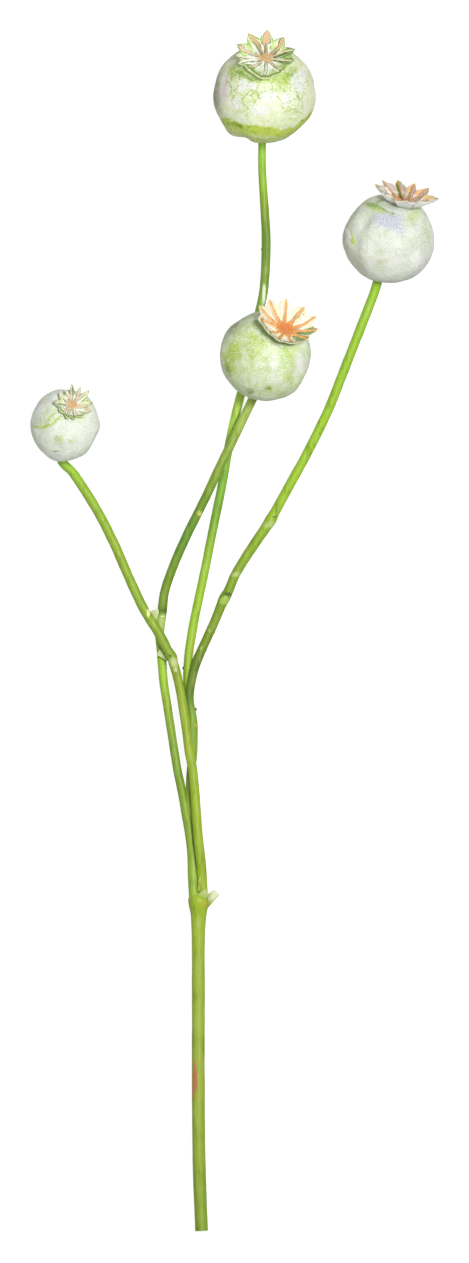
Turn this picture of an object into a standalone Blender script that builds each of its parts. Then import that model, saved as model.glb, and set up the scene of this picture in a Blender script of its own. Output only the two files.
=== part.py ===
"""Poppy seed head: a cut, branched poppy stem with four ripe capsules, lying on a flat surface.

The stem forks four times and carries one capsule on each of its four branches. Each capsule is a
waxy, softly ribbed globe with a lobed stigma crown on top. The spray lies on z = 0 with its cut
end at low Y and its heads at high Y. It rests on the undersides of three heads and on its cut end.

Lengths are in millimetres here and become metres where a mesh is made. A heading is in degrees
clockwise from +Y, seen from above, and a rise is in degrees above the horizontal.
"""

import math
import random
from dataclasses import dataclass

import bmesh
import bpy
from mathutils import Quaternion, Vector

MM = 0.001
GAP = 0.3  # left between pieces that touch

# The top head's width sets the scale of the whole spray
TOP_HEAD_WIDTH = 43.0
GLOBE = TOP_HEAD_WIDTH / 2

# Capsules
GLOBE_SIDES = 33
GLOBE_RINGS = 17
RIB_HEIGHT = 0.011  # of the globe's radius
BASE_LENGTH = 0.95  # of the globe's radius, from its centre down to the stem
BASE_SEAT = 0.975  # where the flat seat for the stem cuts that length
SOFT_EDGE = 22  # how hard the edge of a pressed side is
CRISP_EDGE = 60
PRESS_LIMIT = 0.2  # a pressed side acts where the cosine to its normal is above this
BEND_START = 30  # degrees from the crown's axis where the globe starts to lean to its stem
BEND_SPAN = 120
REST_CUT = 0.5  # how much is cut off under a head that lies on the surface

# Crowns, as shares of the crown's tip radius
NOTCH = 0.68
NECK = 0.40
NECK_TAPER = 0.94
NECK_EDGE = 0.35  # height of the neck's tapered foot
CUP_POWER = 1.7  # how late the disc starts to rise or droop
LOBE_FULLNESS = 0.8
RAY_HALF_WIDTH = 0.12
RAY_HEIGHT = 0.06
POCKET_DEPTH = 0.06
RIM_THICKNESS = 0.75
FLESH_THICKNESS = 1.2
LOBE_SAMPLES = (-0.5, -0.15, 0.0, 0.15)  # notch, ray's foot, ray's top, ray's foot
BOSS = 0.2  # the flat middle where the rays meet, as a share of the disc's reach
NEAR_NOTCH = 0.84  # lobes on the side that faces up are shallower
LOBE_REACHES = (0.93, 1.05)  # lobes differ in length between these shares of the tip radius
TOP_RINGS = (0.2, 0.3, 0.52, 0.76, 0.9, 1.0)
UNDER_RINGS = ((0.97, RIM_THICKNESS), (0.74, FLESH_THICKNESS))  # share of the reach, thickness

# Stem
STEM_SIDES = 10
STEM_STEP = 6.5
STALK_STEP = 4.5
SHARP_ANGLE = 50


@dataclass(frozen=True)
class Facet:
    """A side of the globe that is pressed flat, at a share of its radius from the centre."""

    heading: float
    rise: float
    reach: float


@dataclass(frozen=True)
class Dent:
    """A soft hollow in the globe."""

    heading: float
    rise: float
    spread: float
    depth: float


@dataclass(frozen=True)
class Crown:
    """The lobed stigma disc: its place and lean, its lobes, and how far they rise or droop."""

    place: tuple  # heading and rise of its centre, seen from the globe's centre
    lean: tuple  # heading and rise of its axis
    distance: float
    tip: float
    lobes: int
    first: float
    far_rise: float
    near_rise: float
    notch: float = NOTCH
    body: float = 1.8
    near_short: float = 0.04  # how much shorter the near lobes are


@dataclass(frozen=True)
class Head:
    """One capsule with its crown, and where the stem comes in."""

    name: str
    place: tuple  # x and y of the globe's centre
    radius: float
    foot: tuple  # heading and rise of the line from the stem's end through the centre
    crown: Crown
    facets: tuple
    dents: tuple
    seed: int
    lift: float = -REST_CUT  # of the globe's lowest point above the surface

    @property
    def centre(self):
        """Centre of the globe."""
        return Vector((*self.place, self.radius + self.lift))


HEADS = (
    Head("top", (12.5, 225.1), GLOBE, (3.0, 43.0),
         Crown((4.3, 47.0), (4.3, 47.0), 22.9, 13.0, 11, 1.0, 3.0, -2.4),
         (Facet(140, 0, 0.955), Facet(178, 0, 0.965)),
         (Dent(200, 0, 10, 1.7), Dent(300, 35, 16, 0.5), Dent(95, 30, 15, 0.4)), 3, -0.8),
    Head("right", (64.5, 164.4), 0.90 * GLOBE, (14.5, 15.0),
         Crown((23.5, 19.0), (12.0, 19.0), 18.1, 13.8, 10, 12.0, 4.7, 3.6, body=1.2),
         (Facet(180, 0, 0.97), Facet(305, 0, 0.975)),
         (Dent(230, 38, 12, 0.8), Dent(110, 48, 13, 0.7), Dent(320, 42, 12, 0.6),
          Dent(195, 60, 14, 0.5), Dent(60, 30, 12, 0.6)), 5),
    Head("centre", (13.0, 115.4), 0.90 * GLOBE, (17.0, 35.0),
         Crown((33.9, 44.0), (33.9, 44.0), 19.6, 13.7, 11, 7.0, 4.8, 5.0, near_short=0.13),
         (Facet(110, 0, 0.955), Facet(335, 10, 0.975)),
         (Dent(170, 40, 13, 0.5), Dent(255, 45, 15, 0.5), Dent(120, 35, 12, 0.4)), 11, 4.8),
    Head("left", (-70.8, 86.4), 0.70 * GLOBE, (8.0, 34.0),
         Crown((17.4, 51.0), (17.4, 51.0), 14.4, 8.9, 12, 8.0, 2.5, 0.8, 0.55, 1.3, 0.12),
         (Facet(122, 0, 0.895), Facet(92, 8, 0.955), Facet(172, 4, 0.95)),
         (Dent(205, 50, 11, 0.5), Dent(160, 50, 9, 0.35), Dent(275, 40, 16, 0.4)), 13),
)

# Routes of the stems: x, y, z and the radius there, from the foot up
STALK = ((-13.9, -252.4, 2.72, 2.72), (-14.9, -226.4, 3.1, 2.75), (-15.3, -197.0, 3.5, 2.75),
         (-15.3, -155.0, 4.2, 2.75), (-15.3, -127.7, 4.9, 2.85), (-15.2, -118.9, 5.4, 3.4),
         (-15.1, -114.2, 5.7, 4.3), (-15.0, -111.0, 5.8, 4.4), (-14.9, -108.4, 5.8, 3.0))
CENTRE_STEM = ((-17.0, -112.0, 5.5, 2.2), (-17.5, -102.5, 5.3, 2.25), (-17.7, -94.1, 5.0, 2.25),
               (-18.6, -85.7, 4.8, 2.3), (-20.6, -76.0, 4.6, 1.95), (-22.1, -68.0, 4.5, 1.85),
               (-24.1, -58.4, 4.3, 1.8), (-28.1, -33.2, 4.0, 1.8), (-30.0, -20.6, 3.9, 1.85),
               (-31.0, -8.0, 3.8, 1.9), (-31.6, -0.8, 3.9, 2.0), (-31.0, 5.5, 4.1, 2.15),
               (-30.5, 8.6, 4.3, 2.05), (-29.5, 16.4, 4.9, 1.9), (-24.8, 29.8, 6.0, 1.9),
               (-19.1, 42.4, 6.9, 1.9), (-12.8, 55.0, 7.7, 1.9), (-6.9, 67.6, 8.4, 1.9),
               (-0.8, 80.2, 8.9, 1.9), (4.6, 91.5, 9.6, 1.9))
LEFT_STEM = ((-13.2, -111.5, 5.9, 2.0), (-13.7, -103.7, 7.3, 2.05), (-14.3, -96.2, 8.8, 2.05),
             (-15.3, -86.9, 9.4, 2.0), (-16.5, -71.0, 9.6, 1.95), (-17.6, -58.8, 9.5, 1.95),
             (-19.0, -51.2, 9.4, 1.95), (-20.8, -38.2, 9.2, 1.95), (-22.6, -26.9, 9.0, 1.9),
             (-24.2, -18.9, 8.9, 1.95), (-25.8, -13.4, 8.9, 2.05), (-26.5, -10.7, 8.9, 2.25),
             (-28.3, -8.0, 8.9, 2.0), (-29.3, -5.9, 8.9, 2.15), (-31.0, -2.6, 8.85, 2.1),
             (-33.2, 1.2, 8.7, 2.0), (-35.5, 4.6, 8.6, 2.0),
             (-39.1, 10.9, 8.3, 2.0), (-44.9, 23.5, 7.6, 2.0), (-50.4, 36.1, 6.8, 2.0),
             (-56.7, 48.7, 6.0, 2.0), (-64.4, 61.3, 4.9, 2.0), (-68.6, 67.2, 4.4, 1.95))
RIGHT_STEM = ((-18.5, -88.6, 4.8, 1.8), (-18.8, -77.3, 4.4, 1.9), (-18.8, -66.8, 4.1, 1.9),
              (-18.3, -58.4, 4.0, 1.9), (-17.6, -50.8, 4.0, 1.9), (-17.5, -44.9, 4.0, 1.95),
              (-17.6, -39.1, 4.1, 2.0), (-18.0, -35.7, 4.2, 1.95), (-18.8, -31.5, 4.3, 1.95),
              (-19.2, -27.7, 4.5, 2.0), (-18.3, -20.6, 4.8, 2.05), (-16.6, -14.3, 5.1, 2.05),
              (-13.9, -8.0, 5.3, 1.95), (-8.2, 4.6, 5.7, 1.95), (-5.4, 11.5, 5.9, 2.1),
              (-4.2, 13.9, 6.0, 2.4), (-2.9, 16.2, 6.1, 2.1), (0.2, 23.5, 6.3, 2.0),
              (8.0, 36.1, 6.9, 2.1), (13.4, 44.0, 7.2, 2.25), (15.1, 46.6, 7.4, 2.5),
              (16.4, 49.0, 7.5, 2.15), (23.1, 61.3, 8.3, 2.05), (30.0, 73.9, 9.3, 2.0),
              (39.3, 92.8, 10.9, 2.0), (46.8, 111.7, 12.4, 2.0), (52.9, 127.3, 13.5, 2.0))
TOP_STEM = ((-19.2, -29.0, 4.4, 1.7), (-19.9, -20.6, 4.1, 1.8), (-19.7, -13.0, 3.9, 1.8),
            (-19.1, -8.0, 3.8, 1.85), (-17.0, 4.6, 3.7, 1.85), (-13.0, 23.5, 3.6, 1.85),
            (-9.2, 42.4, 3.5, 1.85), (-5.5, 60.5, 3.3, 1.85), (-2.0, 80.2, 3.15, 1.85),
            (0.8, 92.8, 3.05, 1.85), (4.6, 107.5, 2.95, 1.85), (8.0, 122.2, 2.9, 1.85),
            (10.3, 134.0, 2.95, 1.85), (12.2, 143.2, 3.1, 1.85), (13.1, 155.8, 3.4, 1.9),
            (13.2, 166.3, 3.7, 1.9), (12.2, 183.1, 4.1, 1.75), (11.5, 195.7, 4.2, 1.65))
HOOK = 4.0  # the last straight stretch, in line with the capsule's foot

# Cut leaf bases and sheaths at the nodes: from, to, half widths at both ends, half thickness
SHEATHS = (
    ((-13.2, -115.5, 6.0), (-7.6, -109.8, 6.6), 1.9, 1.45, 1.2),
    ((-15.2, -109.5, 7.6), (-14.6, -103.6, 8.6), 0.9, 0.5, 0.6),
    ((-31.4, 3.0, 4.6), (-35.0, 8.2, 5.2), 1.6, 1.5, 0.45),
    ((-27.2, -10.4, 7.6), (-31.4, -7.4, 6.6), 1.6, 1.2, 0.45),
)
BUDS = ((13.9, 172.6, 3.8), (11.9, 160.6, 3.2), (-16.8, -33.0, 4.3), (-21.2, -15.6, 4.0))
BUD_RADIUS = 0.85

# Colour and roughness of each material
STEM_FINISH = ((0.36, 0.53, 0.08, 1.0), 0.45)
CAPSULE_FINISH = ((0.66, 0.74, 0.55, 1.0), 0.6)
CROWN_FINISH = ((0.85, 0.62, 0.40, 1.0), 0.5)


def aim(heading, rise):
    """Unit vector along a heading and rise."""
    turn, lift = math.radians(heading), math.radians(rise)
    return Vector((math.sin(turn) * math.cos(lift), math.cos(turn) * math.cos(lift), math.sin(lift)))


def soft_step(x):
    """Rises smoothly from 0 to 1 as x does."""
    x = min(1.0, max(0.0, x))
    return x * x * (3 - 2 * x)


def soft_min(a, b, hardness):
    """The smaller of two lengths, with the corner between them rounded."""
    return (a ** -hardness + b ** -hardness) ** (-1 / hardness)


def finish(name, bm, look):
    """Makes an object of a mesh in millimetres, with its faces outwards and its own material."""
    colour, roughness = look
    bmesh.ops.recalc_face_normals(bm, faces=bm.faces[:])
    bmesh.ops.scale(bm, vec=(MM, MM, MM), verts=bm.verts[:])
    mesh = bpy.data.meshes.new(name)
    bm.to_mesh(mesh)
    bm.free()
    mesh.shade_smooth()
    mesh.set_sharp_from_angle(angle=math.radians(SHARP_ANGLE))
    material = bpy.data.materials.new(name)
    material.use_nodes = True
    shader = material.node_tree.nodes["Principled BSDF"]
    shader.inputs["Base Color"].default_value = colour
    shader.inputs["Roughness"].default_value = roughness
    shader.inputs["Metallic"].default_value = 0.0
    mesh.materials.append(material)
    thing = bpy.data.objects.new(name, mesh)
    bpy.context.scene.collection.objects.link(thing)
    return thing


def skin(first, rings, last):
    """Closed mesh over rings of points, with a point at each end."""
    bm = bmesh.new()
    start = bm.verts.new(first)
    loops = [[bm.verts.new(point) for point in ring] for ring in rings]
    end = bm.verts.new(last)
    count = len(loops[0])
    for k in range(count):
        after = (k + 1) % count
        bm.faces.new((start, loops[0][k], loops[0][after]))
        bm.faces.new((end, loops[-1][after], loops[-1][k]))
        for low, high in zip(loops, loops[1:]):
            bm.faces.new((low[k], high[k], high[after], low[after]))
    return bm


def foot_direction(head):
    """From the globe's centre towards the stem."""
    return -aim(*head.foot)


def crown_seat(head):
    """How far from the globe's centre, along the crown's axis, the capsule's flat top lies."""
    crown = head.crown
    along = crown.distance * aim(*crown.place).dot(aim(*crown.lean))
    return along - crown.body - GAP


def globe_shaper(head):
    """Function that gives the globe's radius along a direction, at a polar and a round angle."""
    crown = head.crown
    draw = random.Random(head.seed)
    ribs = [draw.uniform(0.5, 1.0) for _ in range(crown.lobes)]
    flats = [(aim(f.heading, f.rise), f.reach * head.radius, SOFT_EDGE) for f in head.facets]
    flats.append((aim(*crown.lean), crown_seat(head), CRISP_EDGE))
    flats.append((foot_direction(head), BASE_LENGTH * BASE_SEAT * head.radius, CRISP_EDGE))
    dents = [(aim(d.heading, d.rise), math.radians(d.spread), d.depth) for d in head.dents]

    def radius_at(polar, angle, way):
        """Radius of the globe, in millimetres."""
        below = min(0.0, math.cos(polar))
        radius = head.radius * (1 - (1 - BASE_LENGTH) * below * below)
        turn = angle / math.tau * crown.lobes
        rib = ribs[int(turn + 0.5) % crown.lobes] * math.cos(math.tau * turn)
        radius *= 1 + RIB_HEIGHT * rib * math.sin(polar) ** 2
        for centre, spread, depth in dents:
            radius -= depth * math.exp(-(centre.angle(way) / spread) ** 2)
        for normal, reach, hardness in flats:
            facing = normal.dot(way)
            if facing > PRESS_LIMIT:
                radius = soft_min(radius, reach / facing, hardness)
        return radius

    return radius_at


def make_capsule(head):
    """The waxy globe, cut flat where it lies on the surface."""
    lean, away = aim(*head.crown.lean), -foot_direction(head)
    bend = lean.rotation_difference(away)
    side = lean.orthogonal().normalized()
    radius_at = globe_shaper(head)
    centre = head.centre

    def point(polar, angle):
        """Surface point; the lower half leans over to meet the stem."""
        leaning = soft_step((math.degrees(polar) - BEND_START) / BEND_SPAN)
        turn = Quaternion().slerp(bend, leaning)
        way = Quaternion(lean, angle) @ (math.sin(polar) * side) + math.cos(polar) * lean
        way = turn @ way
        return centre + way * radius_at(polar, angle, way)

    rings = []
    for ring in range(1, GLOBE_RINGS + 1):
        polar = math.pi * ring / (GLOBE_RINGS + 1)
        rings.append([point(polar, math.tau * k / GLOBE_SIDES) for k in range(GLOBE_SIDES)])
    bm = skin(point(0.0, 0.0), rings, point(math.pi, 0.0))
    whole = bm.verts[:] + bm.edges[:] + bm.faces[:]
    cut = bmesh.ops.bisect_plane(bm, geom=whole, plane_co=(0, 0, 0), plane_no=(0, 0, 1),
                                 clear_inner=True)
    edges = [e for e in cut["geom_cut"] if isinstance(e, bmesh.types.BMEdge)]
    if edges:
        bmesh.ops.contextual_create(bm, geom=edges)
    return finish("capsule_" + head.name, bm, CAPSULE_FINISH)


def make_crown(head):
    """The stigma disc: raised rays that end in pointed lobes, hollows between, and a neck."""
    crown = head.crown
    axis = aim(*crown.lean)
    far = aim(crown.lean[0], crown.lean[1] - 90)
    side = far.cross(axis)
    if side.dot(Vector((1, 0, 0))) < 0:
        side = -side
    middle = head.centre + aim(*crown.place) * crown.distance
    draw = random.Random(head.seed + 100)
    reaches = [draw.uniform(*LOBE_REACHES) for _ in range(crown.lobes)]

    def spot(angle, out, height):
        """Point at a round angle, a distance out and a height above the disc's centre."""
        return middle + (far * math.cos(angle) + side * math.sin(angle)) * out + axis * height

    def rim(lobe, share, angle):
        """Reach of the edge, from the tip of a lobe down to the notch."""
        near = 0.5 - 0.5 * math.cos(angle)
        tip = crown.tip * reaches[lobe] * (1 - crown.near_short * near)
        low = crown.tip * (crown.notch + (NEAR_NOTCH - crown.notch) * near ** 2)
        low *= 1 - crown.near_short * near
        return low + (tip - low) * (1 - abs(2 * share)) ** LOBE_FULLNESS

    def cup(angle, out):
        """Height of the plain disc, which rises or droops outwards."""
        swing = 0.5 + 0.5 * math.cos(angle)
        lift = crown.near_rise + (crown.far_rise - crown.near_rise) * swing
        return lift * (out / crown.tip) ** CUP_POWER

    def top(angle, share, out, edge):
        """Height of the upper side, with its ray and hollow."""
        part = out / edge
        across = abs(share) * math.tau / crown.lobes * out
        ray = max(0.0, 1 - (across / (RAY_HALF_WIDTH * crown.tip)) ** 2)
        ray = ray * (1 - 0.5 * soft_step((part - 0.6) / 0.4)) if part > BOSS else 1.0
        hollow = (2 * share) ** 2 * math.sin(math.pi * part) * POCKET_DEPTH if part > BOSS else 0.0
        return cup(angle, out) + crown.tip * (RAY_HEIGHT * ray - hollow)

    spokes = [(lobe, share) for lobe in range(crown.lobes) for share in LOBE_SAMPLES]
    angles = [math.radians(crown.first) + (lobe + share) * math.tau / crown.lobes
              for lobe, share in spokes]
    rings = []
    for part in TOP_RINGS:
        ring = []
        for (lobe, share), angle in zip(spokes, angles):
            edge = rim(lobe, share, angle)
            out = edge * part
            ring.append(spot(angle, out, top(angle, share, out, edge)))
        rings.append(ring)
    for part, thick in UNDER_RINGS:
        ring = []
        for (lobe, share), angle in zip(spokes, angles):
            out = rim(lobe, share, angle) * part
            ring.append(spot(angle, out, cup(angle, out) - thick))
        rings.append(ring)
    neck = NECK * crown.tip
    for out, height in ((neck, NECK_EDGE - crown.body), (neck * NECK_TAPER, -crown.body)):
        rings.append([spot(angle, out, height) for angle in angles])
    bm = skin(spot(0, 0, crown.tip * RAY_HEIGHT), rings, spot(0, 0, -crown.body))
    return finish("crown_" + head.name, bm, CROWN_FINISH)


def curve_value(values, knots, t):
    """One coordinate of the centripetal curve through four values."""
    level = list(values)
    for reach in (1, 2):
        shares = [(t - knots[k]) / (knots[k + reach] - knots[k]) for k in range(len(level) - 1)]
        level = [a + (b - a) * share for a, b, share in zip(level, level[1:], shares)]
    return level[0] + (level[1] - level[0]) * (t - knots[1]) / (knots[2] - knots[1])


def smooth_route(points, step):
    """Points along a smooth curve through the given ones, at most a step apart, radius included."""
    padded = [points[0], *points, points[-1]]
    route = []
    for before, start, end, after in zip(padded, padded[1:], padded[2:], padded[3:]):
        knots = [0.0]
        for a, b in ((before, start), (start, end), (end, after)):
            span = (Vector(b[:3]) - Vector(a[:3])).length
            knots.append(knots[-1] + max(1e-3, span) ** 0.5)
        count = max(1, math.ceil((Vector(end[:3]) - Vector(start[:3])).length / step))
        for k in range(count):
            t = knots[1] + (knots[2] - knots[1]) * k / count
            route.append([curve_value(values, knots, t)
                          for values in zip(before, start, end, after)])
    route.append(list(points[-1]))
    return route


def tube(route, ends=(None, None), flat=1.0):
    """Round stem along a route; flat below 1 makes it a strap, thin in height."""
    places = [Vector(point[:3]) for point in route]
    rings = []
    normal = Vector((0, 0, 1))
    for k, point in enumerate(route):
        ahead = places[min(k + 1, len(places) - 1)]
        behind = places[max(k - 1, 0)]
        way = (ahead - behind).normalized()
        if k == 0 and ends[0]:
            way = ends[0]
        if k == len(route) - 1 and ends[1]:
            way = ends[1]
        normal = (normal - way * normal.dot(way)).normalized()
        across = way.cross(normal)
        ring = []
        for s in range(STEM_SIDES):
            turn = math.tau * (s + 0.5) / STEM_SIDES
            ring.append(places[k] + point[3] * (across * math.cos(turn)
                                                + normal * math.sin(turn) * flat))
        rings.append(ring)
    return skin(places[0], rings, places[-1])


def bud(place):
    """A small bump on the side of a stem."""
    bm = bmesh.new()
    bmesh.ops.create_icosphere(bm, subdivisions=1, radius=BUD_RADIUS)
    bmesh.ops.translate(bm, vec=Vector(place), verts=bm.verts[:])
    return bm


def stem_to_head(points, head):
    """Stem tube that bends in to the flat seat at a capsule's foot."""
    foot = foot_direction(head)
    end = head.centre + foot * (BASE_LENGTH * BASE_SEAT * head.radius + GAP)
    before = end + foot * HOOK
    radius = points[-1][3]
    route = list(points) + [(*before, radius), (*end, radius)]
    return tube(smooth_route(route, STEM_STEP), (None, -foot))


def make_stem():
    """The whole branched stem, joined to one body."""
    top, right, centre, left = HEADS
    pieces = [
        tube(smooth_route(STALK, STALK_STEP)),
        stem_to_head(CENTRE_STEM, centre),
        stem_to_head(LEFT_STEM, left),
        stem_to_head(RIGHT_STEM, right),
        stem_to_head(TOP_STEM, top),
    ]
    for start, end, wide, narrow, thin in SHEATHS:
        middle = [(a + b) / 2 for a, b in zip(start, end)]
        route = [(*start, wide), (*middle, (wide + narrow) / 2), (*end, narrow)]
        pieces.append(tube(route, flat=thin / wide))
    pieces.extend(bud(place) for place in BUDS)
    parts = [finish(f"stem_part_{k}", bm, STEM_FINISH) for k, bm in enumerate(pieces)]
    stem, others = parts[0], parts[1:]
    stem.name = "stem"
    group = bpy.data.collections.new("stem_parts")
    bpy.context.scene.collection.children.link(group)
    for part in others:
        bpy.context.scene.collection.objects.unlink(part)
        group.objects.link(part)
    union = stem.modifiers.new("union", "BOOLEAN")
    union.operation = "UNION"
    union.operand_type = "COLLECTION"
    union.collection = group
    union.solver = "EXACT"
    bpy.context.view_layer.update()
    seen = stem.evaluated_get(bpy.context.evaluated_depsgraph_get())
    joined = bpy.data.meshes.new_from_object(seen)
    stem.modifiers.clear()
    material = stem.data.materials[0]
    stem.data = joined
    joined.name = "stem"
    joined.materials.clear()
    joined.materials.append(material)
    for part in others:
        bpy.data.objects.remove(part)
    bpy.data.collections.remove(group)
    return stem


def main():
    """Clears the scene and makes every piece."""
    for thing in list(bpy.data.objects):
        bpy.data.objects.remove(thing)
    make_stem()
    for head in HEADS:
        make_capsule(head)
        make_crown(head)


main()
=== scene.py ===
"""Finished look of the cut poppy spray: waxy capsules, lobed crowns and green stems.

Every globe, crown and branch is built finer than its solid, in the same place and form, and has a
procedural finish of its own. Sizes are in millimetres here and become metres where a mesh is made.
A heading is in degrees clockwise from +Y, seen from above, and a rise is in degrees above the
horizontal. An offset is in millimetres from a globe's centre, seen from above.
"""

import logging
import math
import random
from collections.abc import Callable, Iterator, Sequence
from dataclasses import dataclass
from enum import Enum
from typing import Any

import bpy
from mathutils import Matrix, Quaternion, Vector, noise


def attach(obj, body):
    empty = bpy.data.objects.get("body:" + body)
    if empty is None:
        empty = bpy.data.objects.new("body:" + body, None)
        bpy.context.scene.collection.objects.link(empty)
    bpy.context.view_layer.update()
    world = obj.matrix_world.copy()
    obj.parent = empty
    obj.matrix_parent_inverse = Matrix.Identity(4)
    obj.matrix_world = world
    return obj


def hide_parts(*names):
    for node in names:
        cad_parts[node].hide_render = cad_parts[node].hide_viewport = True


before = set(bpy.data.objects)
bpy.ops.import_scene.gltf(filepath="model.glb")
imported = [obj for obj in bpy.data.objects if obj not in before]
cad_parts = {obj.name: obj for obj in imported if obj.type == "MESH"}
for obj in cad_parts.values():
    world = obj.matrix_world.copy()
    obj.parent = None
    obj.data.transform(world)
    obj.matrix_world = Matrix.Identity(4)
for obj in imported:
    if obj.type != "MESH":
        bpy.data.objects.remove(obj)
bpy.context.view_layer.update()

Number = float | int
Pair = tuple[float, float]
Point = tuple[float, float, float]
Colour = tuple[float, float, float, float]
Corner = tuple[float, float, float, dict[str, float]]  # round angle, distance, height, what it carries

MM = 0.001
LOG = logging.getLogger("poppy")


def rgb(red: int, green: int, blue: int) -> Colour:
    """Linear colour from the usual eight-bit values of a screen.

    Args:
        red: Red from 0 to 255.
        green: Green from 0 to 255.
        blue: Blue from 0 to 255.

    Returns:
        Red, green, blue and alpha for a shader.
    """
    shares = [value / 255 for value in (red, green, blue)]
    linear = [s / 12.92 if s <= 0.04045 else ((s + 0.055) / 1.055) ** 2.4 for s in shares]
    return (linear[0], linear[1], linear[2], 1.0)


def aim(heading: float, rise: float) -> Vector:
    """Unit vector along a heading and rise, both in degrees."""
    turn, lift = math.radians(heading), math.radians(rise)
    return Vector((math.sin(turn) * math.cos(lift), math.cos(turn) * math.cos(lift), math.sin(lift)))


def soft_step(value: float, low: float = 0.0, high: float = 1.0) -> float:
    """Share that rises smoothly from 0 to 1 between two limits of a value."""
    share = min(1.0, max(0.0, (value - low) / (high - low)))
    return share * share * (3 - 2 * share)


def soft_min(first: float, second: float, hardness: float) -> float:
    """The smaller of two lengths, with a corner between them that is sharper when harder."""
    return (first ** -hardness + second ** -hardness) ** (-1 / hardness)


def between(points: Sequence[Pair], at: float) -> float:
    """Height of a line through points, read at one place.

    Args:
        points: Places and heights, in order of place.
        at: The place.

    Returns:
        The height there.
    """
    if at <= points[0][0]:
        return points[0][1]
    for (x0, y0), (x1, y1) in zip(points, points[1:]):
        if at <= x1:
            return y0 + (y1 - y0) * soft_step((at - x0) / (x1 - x0))
    return points[-1][1]


def ripple(place: Vector, size: float) -> float:
    """Smooth random value from about -1 to 1, in a pattern with features of a size."""
    return noise.noise(place / size)


class Wire:
    """A node's output, on which arithmetic adds Math nodes."""

    def __init__(self, bench: "Bench", socket: bpy.types.NodeSocket) -> None:
        """Keeps the output and the bench that its nodes go on."""
        self.bench = bench
        self.socket = socket

    def __add__(self, other: "Wire | Number") -> "Wire":
        """Sum of this and another value."""
        return self.bench.math("ADD", self, other)

    def __radd__(self, other: Number) -> "Wire":
        """Sum of a number and this."""
        return self.bench.math("ADD", other, self)

    def __sub__(self, other: "Wire | Number") -> "Wire":
        """This less another value."""
        return self.bench.math("SUBTRACT", self, other)

    def __rsub__(self, other: Number) -> "Wire":
        """A number less this."""
        return self.bench.math("SUBTRACT", other, self)

    def __mul__(self, other: "Wire | Number") -> "Wire":
        """Product of this and another value."""
        return self.bench.math("MULTIPLY", self, other)

    def __rmul__(self, other: Number) -> "Wire":
        """Product of a number and this."""
        return self.bench.math("MULTIPLY", other, self)


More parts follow.
